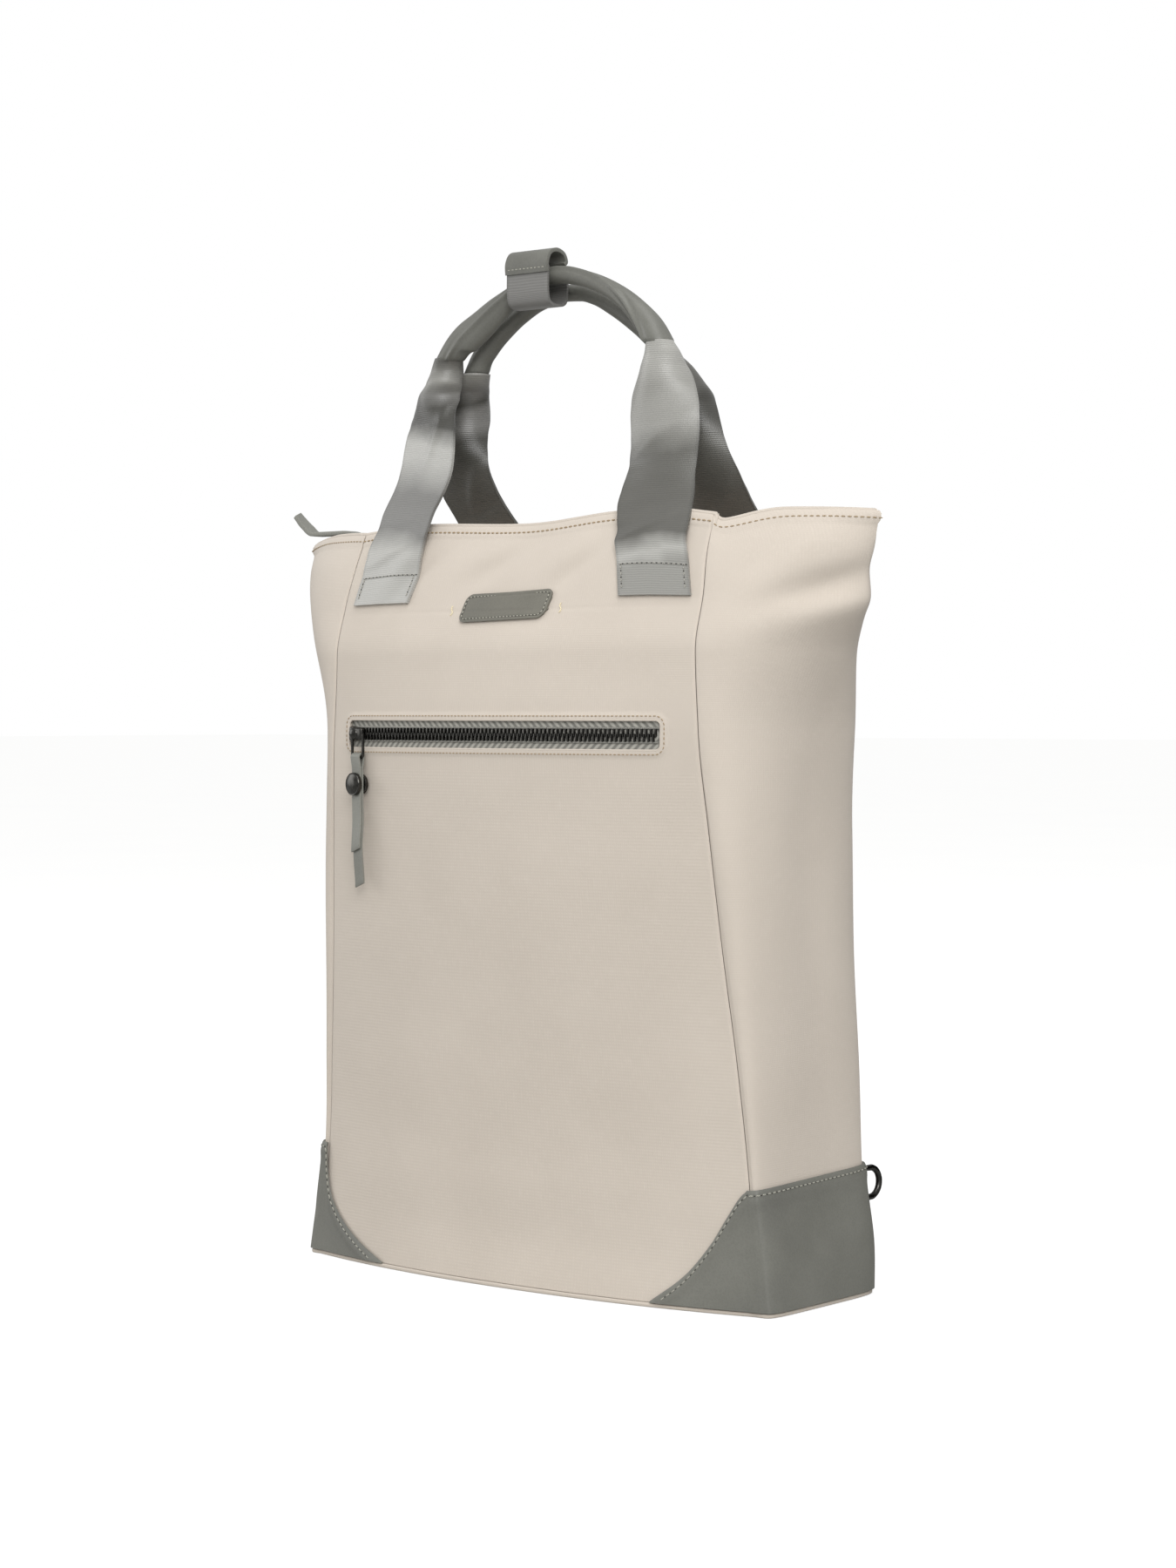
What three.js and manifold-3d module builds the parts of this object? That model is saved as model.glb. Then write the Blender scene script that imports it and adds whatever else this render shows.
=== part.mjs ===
// Convertible backpack: an upright cloth tote with two short grips, corner patches, a zipped front
// pocket and a zipped top. Millimetres. X runs across the front, Y to the back and Z up, with the
// origin on the floor under the middle of the base.
import * as THREE from "three";
import { mergeVertices } from "three/addons/utils/BufferGeometryUtils.js";
import Module from "manifold-3d";

const wasm = await Module();
wasm.setup();

// Body
const BODY_HEIGHT = 400;
const BODY_WIDTH = 322;
const BODY_DEPTH = 96;
const WALL = 2.2;
const BASE_THICKNESS = 2.2;
const BASE_LIP = 0.8;
const GAP = 0.3;
const BOW_POWER = 2.2;

// Corner patches
const PATCH_THICKNESS = 1.4;
const PATCH_STAND = 0.5;
const PATCH_HEIGHT = 62.5;
const PATCH_REACH = 57;
const PATCH_REAR_RISE = 4.5;

// Pocket zip in the front panel
const POCKET_LENGTH = 0.6615 * BODY_WIDTH;
const POCKET_OPENING = 14.5;
const POCKET_SHIFT = -2;
const POCKET_HEIGHT = 0.72125 * BODY_HEIGHT;
const POCKET_CORNER = 3;
const TAPE_THICKNESS = 1;
const TAPE_MARGIN = 5;
const TEETH_WIDTH = 6.4;
const TEETH_THICKNESS = 1.6;
const SLIDER_LENGTH = 12;
const SLIDER_WIDTH = 9;
const SLIDER_THICKNESS = 3.4;
const LINK_WIRE = 1.6;
const LINK_DROP = 8;
const LINK_SHIFT = 3.5;
const SLIDER_PARK = 2.5;
const PULL_WIDTH = 7.5;
const PULL_LAYER = 1.2;
const PULL_LENGTH = 69;
const PULL_SHORT_LAYER = 50;
const STUD_DROP = 14.5;
const STUD_CAP = 12.5;
const STUD_CAP_THICKNESS = 3;
const STUD_REAR_CAP = 11;
const STUD_REAR_THICKNESS = 1.8;
const STUD_PIN = 4;

// Top closure below the rim
const CLOSURE_DROP = 13;
const CLOSURE_SLOPE = 5;
const CLOSURE_LENGTH = 0.907 * BODY_WIDTH;
const FACING_MARGIN = 1.3;
const FACING_THICKNESS = 1.4;
const TOP_TAPE_WIDTH = 26;
const TOP_PULL_WIDTH = 9;
const TOP_PULL_THICKNESS = 2.4;

// Label
const LABEL_LENGTH = 58;
const LABEL_HEIGHT = 15;
const LABEL_SLANT = 4.5;
const LABEL_TILT = 1.5;
const LABEL_THICKNESS = 1.3;
const LABEL_DROP = 44.5;
const LABEL_SHIFT = 1;

// Webbing, grips and cuff
const WEBBING_WIDTH = 42.5;
const WEBBING_THICKNESS = 1.6;
const FOOT_LENGTH = 41.5;
const FOOT_BULGE = 2.8;
const BULGE_SPAN = [14, 34];
const LIFT_SPAN = [-2, 14];
const FOOT_X = { front_right: 95, front_left: -91.2, back_right: 92, back_left: -90 };
const GRIP_Y = { front: -28, back: -12 };
const GRIP_THICKNESS = 9.6;
const CUFF_WIDTH = 28;
const CUFF_SHIFT = -9;
const CUFF_THICKNESS = 1.4;
const CUFF_SLACK = 0.5;
const FLAP_THICKNESS = 2;
const FLAP_RISE = 9;
const FLAP_OVERHANG = 1;

// Rings at the lower back corners
const RING_WIRE = 3.4;
const RING_TALL = 12;
const RING_DEEP = 16;
const RING_HEIGHT = 54;
const RING_INSET = 3.2;
const RING_SLACK = 0.4;
const TAB_THICKNESS = 1.5;
const TAB_LENGTH = 17;

// Body sections, from the base up. height is a share of BODY_HEIGHT; seam and tip, the half widths at
// the front seam and at the side's outermost line, of half BODY_WIDTH; front, bow, back, backBow and
// tipShift of BODY_DEPTH. frontRound and backRound are the powers of the side's curve.
const SECTION_COLUMNS = ["height", "seam", "tip", "front", "bow", "back", "backBow", "tipShift",
  "frontRound", "backRound"];
const SECTIONS = [
  [0, 0.925, 0.985, 0.5, 0.185, 0.48, 0.03, 0, 6.0, 4.0],
  [0.075, 0.913, 0.96, 0.49, 0.167, 0.505, 0.04, 0, 5.0, 5.5],
  [0.155, 0.894, 0.932, 0.49, 0.177, 0.5, 0.05, 0, 4.5, 5.0],
  [0.3, 0.863, 0.922, 0.521, 0.177, 0.531, 0.06, 0, 3.8, 3.4],
  [0.45, 0.826, 0.914, 0.573, 0.177, 0.538, 0.06, -0.01, 3.2, 3.1],
  [0.6, 0.795, 0.914, 0.625, 0.167, 0.548, 0.06, -0.02, 2.4, 3.2],
  [0.725, 0.77, 0.942, 0.661, 0.151, 0.53, 0.06, -0.03, 1.8, 3.4],
  [0.825, 0.758, 1.035, 0.661, 0.104, 0.43, 0.05, -0.04, 1.9, 2.3],
  [0.8925, 0.757, 1.15, 0.595, 0.078, 0.35, 0.04, -0.05, 1.75, 1.5],
  [0.95, 0.745, 1.18, 0.531, 0.0625, 0.255, 0.03, -0.0625, 1.6, 1.45],
  [1, 0.739, 1.202, 0.448, 0.042, 0.177, 0.03, -0.0625, 1.2, 1.15],
];

// Dents and folds of the cloth. across is a share of half BODY_WIDTH on the front, and of the way
// from front seam to back seam on a side; up is a share of BODY_HEIGHT. long, wide and deep are
// shares of BODY_DEPTH, and turn is the fold's slope in degrees.
const FOLD_COLUMNS = ["panel", "across", "up", "turn", "long", "wide", "deep"];
const FOLDS = [
  ["right", 0.34, 0.905, 30, 0.2, 0.08, -0.06],
  ["right", 0.2, 0.95, 62, 0.22, 0.06, -0.025],
  ["left", 0.45, 0.9, 35, 0.24, 0.1, -0.03],
  ["front", -0.33, 0.93, 52, 0.26, 0.07, -0.02],
  ["front", 0.3, 0.93, 52, 0.26, 0.07, -0.02],
];

// Edges of the two corner patches on the front: in is the distance from the seam and up the height
// of the edge there, as shares of PATCH_REACH and PATCH_HEIGHT.
const RIGHT_PATCH_EDGE = [[0, 1], [0.09, 0.92], [0.21, 0.77], [0.4, 0.52], [0.67, 0.24], [1, 0.01]];
const LEFT_PATCH_EDGE = [[0, 1], [0.05, 0.7], [0.16, 0.48], [0.38, 0.29], [0.64, 0.15], [1, 0.01]];

// Webbing from the rim to the grips, in millimetres and degrees: the front of the band's section, its
// rise over the rim, how far the section turns to the right, and how far the band is folded round
const STRAP_COLUMNS = ["run", "x", "y", "rise", "turn", "fold"];
const STRAPS = {
  front_right: [[87.8, -56.6, -15, -4, 2], [84.5, -48.3, 4.8, 10, 5], [82.2, -43.4, 20.7, 5, 45],
    [81.5, -39.6, 34.3, 3, 47], [79.6, -36.3, 50.2, 6, 46], [75.7, -34, 63.8, 12, 104],
    [75.3, -32.3, 77.3, 24, 194], [77.4, -33.8, 89, 38, 318]],
  front_left: [[-86.4, -56.2, -14, -4, 2], [-83.6, -48.9, 6.9, -9, 4], [-78.8, -43.8, 21, -8, 2],
    [-77, -40.1, 35.3, -9, 2], [-78.8, -37.3, 49.6, -12, 16], [-85, -34.4, 64.2, -13, 108],
    [-74.7, -36, 78.2, 10, 250], [-68, -34.6, 89, 34, 308]],
  back_right: [[85, 25.8, -8, 0, 8], [83.5, 20.6, -0.2, 0, 16], [80.6, 14.6, 4.8, 0, 40],
    [81.6, 7.2, 10, 0, 56], [83, -6, 23, 0, 70], [80.4, -13.8, 36.1, 0, 88],
    [77.8, -18.4, 51.6, 4, 144], [80.4, -20.4, 65, 14, 236], [76.2, -17.4, 75, 30, 306],
    [70.6, -18.8, 82.6, 38, 322]],
  back_left: [[-83.4, 25.8, -8, 0, 4], [-82.6, 20.6, -0.2, 0, 4], [-80.6, 14.8, 4.8, -2, 4],
    [-81, 10.4, 9.7, -4, 6], [-83.3, -0.4, 23.7, -5, 22], [-84.2, -10.6, 37.6, -3, 84],
    [-83.5, -13, 51.3, 0, 172], [-77.8, -11.8, 67.4, 10, 250], [-71.4, -11.8, 76.4, 24, 314],
    [-62.8, -18, 82.8, 36, 342]],
};

// Grips from left to right, in millimetres: x and the rise over the rim of the middle line, and the
// roll's height and thickness there
const GRIP_COLUMNS = ["run", "x", "rise", "tall", "thick"];
const GRIPS = {
  front: [[-71.3, 89.6, 16, 16], [-66, 95.4, 17, 14.4], [-58.4, 101.2, 17.6, 12.8],
    [-48.6, 107, 16.6, 11.6], [-37.8, 114, 14.6, 10.4], [-30, 118.8, 12, 9.6],
    [-23.4, 122.9, 9.6, 9.4], [-12, 127.2, 9, 9.2], [2, 129.6, 8.8, 9], [11, 129, 8.8, 9],
    [22, 126.6, 8.8, 9], [32, 123.2, 9, 9], [40.5, 119.3, 9.4, 9.2], [51, 112.8, 10.6, 10.4],
    [61.5, 103.6, 12.8, 12.6], [68, 96.6, 15, 14.8], [72.3, 89.6, 16.8, 16.6]],
  back: [[-66, 83.4, 14, 14], [-62, 91.2, 12.4, 12.4], [-54.4, 99.4, 11.4, 11.6],
    [-45, 106.6, 10.6, 11], [-34, 113.4, 10, 10.4], [-20, 119.4, 9.4, 10], [-4, 122.4, 9, 9.8],
    [8, 121.8, 9, 9.8], [18, 119.2, 9.4, 10], [31, 112.6, 10, 10.4], [43, 105, 10.6, 11],
    [54.4, 96.6, 11.4, 11.6], [62, 89.6, 12.4, 12.4], [65.8, 83.2, 14, 14]],
};

// How many faces the solids have across and up
const BASE_STEPS = { front: 12, side: 8, back: 8 };
const FRONT_STEPS = 14;
const BACK_STEPS = 8;
const SIDE_STEPS = 14;
const WALL_STEPS = 20;
const BACK_WALL_STEPS = 16;
const PATCH_FRONT_STEPS = 9;
const GRIP_STEPS = 18;
const GRIP_SIDES = 10;
const GRIP_LOOK = 3;
const STRAP_WIDTH_STEPS = 6;
const STRAP_STATIONS = [0, BULGE_SPAN[0], 24];
const CUFF_STEPS = 16;
const CUFF_SAMPLES = 100;

const CLOTH = { color: 0xcfc4b8, roughness: 0.85, metalness: 0 };
const PATCH = { color: 0x73736c, roughness: 0.6, metalness: 0 };
const WEBBING = { color: 0x8a8984, roughness: 0.45, metalness: 0 };
const GRIP = { color: 0x76766f, roughness: 0.55, metalness: 0 };
const TAPE = { color: 0x85847e, roughness: 0.8, metalness: 0 };
const GUNMETAL = { color: 0x3c3b38, roughness: 0.3, metalness: 1 };

// One column of a table at a place along its first column, as a smooth curve without overshoot
function smooth(rows, column, place) {
  const at = rows.map((row) => row[0]);
  const value = rows.map((row) => row[column]);
  const last = rows.length - 1;
  const t = Math.min(Math.max(place, at[0]), at[last]);
  const slope = (k) => (value[k + 1] - value[k]) / (at[k + 1] - at[k]);
  const tangent = (k) => {
    if (k === 0) return slope(0);
    if (k === last) return slope(last - 1);
    const product = slope(k - 1) * slope(k);
    return product <= 0 ? 0 : (2 * product) / (slope(k - 1) + slope(k));
  };
  let k = 0;
  while (k < last - 1 && t > at[k + 1]) k += 1;
  const step = at[k + 1] - at[k];
  const u = (t - at[k]) / step;
  const rise = value[k + 1] - value[k];
  const bend = u * (1 - u) * ((tangent(k) * step - rise) * (1 - u) - (tangent(k + 1) * step - rise) * u);
  return value[k] + rise * u + bend;
}

function sectionAt(z) {
  const share = (name) => smooth(SECTIONS, SECTION_COLUMNS.indexOf(name), z / BODY_HEIGHT);
  const half = BODY_WIDTH / 2;
  return {
    seam: share("seam") * half,
    tip: share("tip") * half,
    front: share("front") * BODY_DEPTH,
    bow: share("bow") * BODY_DEPTH,
    back: share("back") * BODY_DEPTH,
    backBow: share("backBow") * BODY_DEPTH,
    tipShift: share("tipShift") * BODY_DEPTH,
    frontRound: share("frontRound"),
    backRound: share("backRound"),
  };
}

// Outward depth of the folds at a point of a panel; across and up are in millimetres from the
// panel's own zero
function foldDepth(panel, across, up, acrossUnit) {
  let depth = 0;
  for (const row of FOLDS) {
    const fold = Object.fromEntries(FOLD_COLUMNS.map((name, i) => [name, row[i]]));
    if (fold.panel !== panel) continue;
    const turn = THREE.MathUtils.degToRad(fold.turn);
    const dx = across - fold.across * acrossUnit;
    const dz = up - fold.up * BODY_HEIGHT;
    const along = (dx * Math.cos(turn) + dz * Math.sin(turn)) / (fold.long * BODY_DEPTH);
    const aside = (dz * Math.cos(turn) - dx * Math.sin(turn)) / (fold.wide * BODY_DEPTH);
    depth += fold.deep * BODY_DEPTH * Math.exp(-(along * along) - aside * aside);
  }
  return depth;
}

// A point of the front panel, out millimetres in front of its outer face
function frontPoint(x, z, out = 0) {
  const s = sectionAt(z);
  const share = Math.min(Math.abs(x) / s.seam, 1);
  const fold = foldDepth("front", x, z, BODY_WIDTH / 2);
  return new THREE.Vector3(x, -(s.front + s.bow * (1 - share ** BOW_POWER)) - out - fold, z);
}

function backPoint(x, z, out = 0) {
  const s = sectionAt(z);
  const share = Math.min(Math.abs(x) / s.seam, 1);
  return new THREE.Vector3(x, s.back + s.backBow * (1 - share ** 2) + out, z);
}

// Half the angle between the two faces of the side sets how far an offset moves its sharp edge
function tipOffset(s, out) {
  const halfAngle = Math.atan2((s.front + s.back) / 2, s.tip - s.seam);
  return out / Math.sin(halfAngle);
}

// A point round the side from the front seam at 0 to the back seam at 1; side is 1 or -1
function plainSidePoint(side, way, z, out, trim) {
  const s = sectionAt(z);
  const v = -Math.cos(Math.PI * way);
  const power = v < 0 ? s.frontRound : s.backRound;
  const start = s.seam + trim;
  const reach = s.tip + tipOffset(s, out) - start;
  const x = start + reach * (1 - Math.abs(v) ** power) ** (1 / power);
  const depth = v < 0 ? s.front + out + s.tipShift : s.back + out - s.tipShift;
  return new THREE.Vector3(side * x, s.tipShift + v * depth, z);
}

function sidePoint(side, way, z, out = 0, trim = 0) {
  const step = 0.01;
  const point = plainSidePoint(side, way, z, out, trim);
  const after = plainSidePoint(side, Math.min(way + step, 1), z, 0, trim);
  const before = plainSidePoint(side, Math.max(way - step, 0), z, 0, trim);
  const tangent = after.sub(before).normalize();
  const normal = new THREE.Vector3(side * tangent.y, -side * tangent.x, 0);
  const girth = BODY_DEPTH;
  const fade = Math.sin(Math.PI * way);
  const fold = foldDepth(side > 0 ? "right" : "left", way * girth, z, girth) * fade;
  return point.addScaledVector(normal, fold);
}

function signedVolume(geometry) {
  const position = geometry.attributes.position;
  const index = geometry.index;
  const corner = [new THREE.Vector3(), new THREE.Vector3(), new THREE.Vector3()];
  let volume = 0;
  for (let i = 0; i < index.count; i += 3) {
    corner.forEach((point, k) => point.fromBufferAttribute(position, index.getX(i + k)));
    volume += corner[0].dot(corner[1].cross(corner[2])) / 6;
  }
  return volume;
}

// Joins two equal grids of points into one closed sheet with its faces out
function closedSheet(outer, inner) {
  const rows = outer.length;
  const columns = outer[0].length;
  const at = (layer, i, j) => (layer * rows + i) * columns + j;
  const index = [];
  const quad = (a, b, c, d) => index.push(a, b, c, a, c, d);
  for (let i = 0; i < rows - 1; i += 1) {
    for (let j = 0; j < columns - 1; j += 1) {
      quad(at(0, i, j), at(0, i, j + 1), at(0, i + 1, j + 1), at(0, i + 1, j));
      quad(at(1, i, j), at(1, i + 1, j), at(1, i + 1, j + 1), at(1, i, j + 1));
    }
    quad(at(0, i, 0), at(0, i + 1, 0), at(1, i + 1, 0), at(1, i, 0));
    quad(at(0, i + 1, columns - 1), at(0, i, columns - 1), at(1, i, columns - 1),
      at(1, i + 1, columns - 1));
  }
  for (let j = 0; j < columns - 1; j += 1) {
    quad(at(0, 0, j + 1), at(0, 0, j), at(1, 0, j), at(1, 0, j + 1));
    quad(at(0, rows - 1, j), at(0, rows - 1, j + 1), at(1, rows - 1, j + 1), at(1, rows - 1, j));
  }
  const geometry = new THREE.BufferGeometry();
  const points = [...outer.flat(), ...inner.flat()];
  geometry.setAttribute("position",
    new THREE.Float32BufferAttribute(points.flatMap((point) => point.toArray()), 3));
  geometry.setIndex(index);
  if (signedVolume(geometry) < 0) geometry.setIndex(index.reverse());
  return geometry;
}

// A sheet from a function of two shares and an offset, between the offsets inner and outer
function sheet(place, acrossSteps, upSteps, inner, outer) {
  const grid = (out) => Array.from({ length: upSteps + 1 }, (_, i) => Array.from(
    { length: acrossSteps + 1 }, (_, j) => place(j / acrossSteps, i / upSteps, out)));
  return closedSheet(grid(outer), grid(inner));
}

// A band along rows of { middle, across }, where across is half its width as a vector
function ribbon(rows, thickness) {
  const grid = (side) => rows.map((row, i) => {
    const before = rows[Math.max(i - 1, 0)].middle;
    const after = rows[Math.min(i + 1, rows.length - 1)].middle;
    const normal = after.clone().sub(before).cross(row.across).normalize();
    const middle = row.middle.clone().addScaledVector(normal, (side * thickness) / 2);
    return [-1, 0, 1].map((share) => middle.clone().addScaledVector(row.across, share));
  });
  return closedSheet(grid(1), grid(-1));
}

// A solid through rings of points, closed by a fan of faces at each end
function closedTube(rings) {
  const sides = rings[0].length;
  const index = [];
  for (let i = 0; i < rings.length - 1; i += 1) {
    for (let j = 0; j < sides; j += 1) {
      const next = (j + 1) % sides;
      const [a, b, c, d] = [i * sides + j, i * sides + next, (i + 1) * sides + next, (i + 1) * sides + j];
      index.push(a, b, c, a, c, d);
    }
  }
  const last = (rings.length - 1) * sides;
  for (let j = 1; j < sides - 1; j += 1) index.push(0, j + 1, j, last, last + j, last + j + 1);
  const geometry = new THREE.BufferGeometry();
  geometry.setAttribute("position",
    new THREE.Float32BufferAttribute(rings.flat().flatMap((point) => point.toArray()), 3));
  geometry.setIndex(index);
  if (signedVolume(geometry) < 0) geometry.setIndex(index.reverse());
  return geometry;
}

function toSolid(geometry) {
  const plain = geometry.clone();
  plain.deleteAttribute("normal");
  plain.deleteAttribute("uv");
  const merged = mergeVertices(plain, 1e-4);
  return new wasm.Manifold(new wasm.Mesh({
    numProp: 3,
    vertProperties: new Float32Array(merged.attributes.position.array),
    triVerts: new Uint32Array(merged.index.array),
  }));
}

function toGeometry(solid) {
  const result = solid.getMesh();
  const geometry = new THREE.BufferGeometry();
  geometry.setAttribute("position", new THREE.BufferAttribute(result.vertProperties, 3));
  geometry.setIndex(new THREE.BufferAttribute(result.triVerts, 1));
  return geometry;
}

function roundedRectangle(width, height, radius) {
  const shape = new THREE.Shape();
  const x = width / 2 - radius;
  const y = height / 2 - radius;
  shape.absarc(x, y, radius, 0, Math.PI / 2);
  shape.absarc(-x, y, radius, Math.PI / 2, Math.PI);
  shape.absarc(-x, -y, radius, Math.PI, 1.5 * Math.PI);
  shape.absarc(x, -y, radius, 1.5 * Math.PI, 2 * Math.PI);
  shape.closePath();
  return shape;
}

// Turns an extruded outline so that it stands in the XZ plane, its depth towards the front
function upright(shape, depth, curveSegments) {
  const geometry = new THREE.ExtrudeGeometry(shape, { depth, bevelEnabled: false, curveSegments });
  return geometry.rotateX(Math.PI / 2);
}

const bag = new THREE.Group();

function add(name, geometry, look, parent = bag) {
  const mesh = new THREE.Mesh(geometry, new THREE.MeshStandardMaterial(look));
  mesh.name = name;
  parent.add(mesh);
  return mesh;
}

const WALL_FOOT = BASE_THICKNESS + GAP;
const SEAM_TRIM = GAP / 2;
const heightAt = (share) => WALL_FOOT + share * (BODY_HEIGHT - WALL_FOOT);
const mix = THREE.MathUtils.lerp;

// Base: a flat padded plate whose lip shows under the walls
function basePanel() {
  const steps = BASE_STEPS;
  const rim = [];
  const seam = sectionAt(0).seam;
  for (let i = 0; i < steps.front; i += 1) {
    rim.push(frontPoint(mix(-seam, seam, i / steps.front), 0, BASE_LIP));
  }
  for (let i = 0; i < steps.side; i += 1) rim.push(sidePoint(1, i / steps.side, 0, BASE_LIP));
  for (let i = 0; i < steps.back; i += 1) {
    rim.push(backPoint(mix(seam, -seam, i / steps.back), 0, BASE_LIP));
  }
  for (let i = 0; i < steps.side; i += 1) rim.push(sidePoint(-1, 1 - i / steps.side, 0, BASE_LIP));
  const outline = new THREE.Shape(rim.map((point) => new THREE.Vector2(point.x, point.y)));
  return new THREE.ExtrudeGeometry(outline, { depth: BASE_THICKNESS, bevelEnabled: false });
}
add("base_panel", basePanel(), CLOTH);

// Front panel, with the window of the pocket zip cut through it
function frontPanel() {
  const place = (u, v, out) => {
    const z = heightAt(v);
    return frontPoint(mix(-1, 1, u) * (sectionAt(z).seam - SEAM_TRIM), z, out);
  };
  const panel = sheet(place, FRONT_STEPS, WALL_STEPS, -WALL, 0);
  const window = upright(roundedRectangle(POCKET_LENGTH, POCKET_OPENING, POCKET_CORNER), BODY_DEPTH, 2);
  window.translate(POCKET_SHIFT, 0, POCKET_HEIGHT);
  return toGeometry(toSolid(panel).subtract(toSolid(window)));
}
add("front_panel", frontPanel(), CLOTH);

function backPanel() {
  const place = (u, v, out) => {
    const z = heightAt(v);
    return backPoint(mix(-1, 1, u) * (sectionAt(z).seam - SEAM_TRIM), z, out);
  };
  return sheet(place, BACK_STEPS, BACK_WALL_STEPS, -WALL, 0);
}
add("back_panel", backPanel(), CLOTH);

for (const [name, side] of [["right", 1], ["left", -1]]) {
  const place = (u, v, out) => sidePoint(side, u, heightAt(v), out, SEAM_TRIM);
  add(`side_panel_${name}`, sheet(place, SIDE_STEPS, WALL_STEPS, -WALL, 0), CLOTH);
}

// A corner patch runs from the front round the side to the back seam
function cornerPatch(side, edge) {
  const steps = PATCH_FRONT_STEPS + SIDE_STEPS;
  const place = (u, v, out) => {
    const seamFoot = sectionAt(WALL_FOOT).seam;
    const column = Math.round(u * steps);
    if (column <= PATCH_FRONT_STEPS) {
      const inShare = 1 - column / PATCH_FRONT_STEPS;
      const top = WALL_FOOT + smooth(edge, 1, inShare) * (PATCH_HEIGHT - WALL_FOOT);
      const z = mix(WALL_FOOT, top, v);
      const x = (1 - (inShare * PATCH_REACH) / seamFoot) * sectionAt(z).seam;
      return frontPoint(side * x, z, out);
    }
    const way = (column - PATCH_FRONT_STEPS) / SIDE_STEPS;
    const z = mix(WALL_FOOT, PATCH_HEIGHT + way * PATCH_REAR_RISE, v);
    return sidePoint(side, way, z, out);
  };
  return sheet(place, steps, 4, PATCH_STAND, PATCH_STAND + PATCH_THICKNESS);
}
add("corner_patch_right", cornerPatch(1, RIGHT_PATCH_EDGE), PATCH);
add("corner_patch_left", cornerPatch(-1, LEFT_PATCH_EDGE), PATCH);

// Pocket zip: tape behind the window, closed teeth in it, slider and folded pull at its left end
const POCKET_LEFT = POCKET_SHIFT - POCKET_LENGTH / 2;
const POCKET_RIGHT = POCKET_SHIFT + POCKET_LENGTH / 2;
const TEETH_FACE = TEETH_THICKNESS - WALL;

function pocketStrip(left, right, height, inner, outer) {
  const place = (u, v, out) => frontPoint(mix(left, right, u), POCKET_HEIGHT + (v - 0.5) * height, out);
  return sheet(place, FRONT_STEPS, 1, inner, outer);
}
add("pocket_zip_tape", pocketStrip(POCKET_LEFT - TAPE_MARGIN, POCKET_RIGHT + TAPE_MARGIN,
  POCKET_OPENING + 2 * TAPE_MARGIN, -WALL - GAP - TAPE_THICKNESS, -WALL - GAP), TAPE);
add("pocket_zip_teeth", pocketStrip(POCKET_LEFT + GAP, POCKET_RIGHT - GAP, TEETH_WIDTH, -WALL,
  TEETH_FACE), GUNMETAL);

const SLIDER_X = POCKET_LEFT + SLIDER_LENGTH / 2 + SLIDER_PARK;
const SLIDER_BACK = TEETH_FACE + GAP;
const SLIDER_FRONT = SLIDER_BACK + SLIDER_THICKNESS;
const LINK_INNER = PULL_WIDTH + 2 * GAP;
const PULL_LOOP = LINK_WIRE / 2 + GAP;
const LINK_OUT = SLIDER_FRONT + LINK_WIRE / 4;

// Slider body with the fixed wire link that carries the pull
function pocketSlider() {
  const body = upright(roundedRectangle(SLIDER_LENGTH, SLIDER_WIDTH, SLIDER_WIDTH / 4),
    SLIDER_THICKNESS, 3);
  const half = (LINK_INNER + LINK_WIRE) / 2;
  const corner = LINK_WIRE;
  const low = -SLIDER_WIDTH / 2 - LINK_DROP;
  const wire = new THREE.CurvePath();
  const start = new THREE.Vector3(-half, 0, 0);
  const points = [[-half, low + corner], [-half, low], [-half + corner, low], [half - corner, low],
    [half, low], [half, low + corner], [half, 0]].map(([x, z]) => new THREE.Vector3(x, 0, z));
  wire.add(new THREE.LineCurve3(start, points[0]));
  wire.add(new THREE.QuadraticBezierCurve3(points[0], points[1], points[2]));
  wire.add(new THREE.LineCurve3(points[2], points[3]));
  wire.add(new THREE.QuadraticBezierCurve3(points[3], points[4], points[5]));
  wire.add(new THREE.LineCurve3(points[5], points[6]));
  const section = new THREE.Shape();
  section.absarc(0, 0, LINK_WIRE / 2, 0, 2 * Math.PI);
  const link = new THREE.ExtrudeGeometry(section, { steps: 24, extrudePath: wire, curveSegments: 4 });
  link.translate(LINK_SHIFT, -(LINK_OUT - SLIDER_BACK), 0);
  return toGeometry(toSolid(body).add(toSolid(link)));
}
const pull = new THREE.Group();
const sliderEnds = [-1, 1].map((end) => frontPoint(SLIDER_X + (end * SLIDER_LENGTH) / 2,
  POCKET_HEIGHT, SLIDER_BACK));
pull.position.copy(sliderEnds[0]).add(sliderEnds[1]).divideScalar(2);
pull.rotation.z = Math.atan2(sliderEnds[1].y - sliderEnds[0].y, sliderEnds[1].x - sliderEnds[0].x);
bag.add(pull);
add("pocket_zip_slider", pocketSlider(), GUNMETAL, pull);

// Pull: a strip folded round the link, its front layer shorter, with a hole for the stud
const pullTop = new THREE.Vector3(LINK_SHIFT, SLIDER_BACK - LINK_OUT, -SLIDER_WIDTH / 2 - LINK_DROP);

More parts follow.
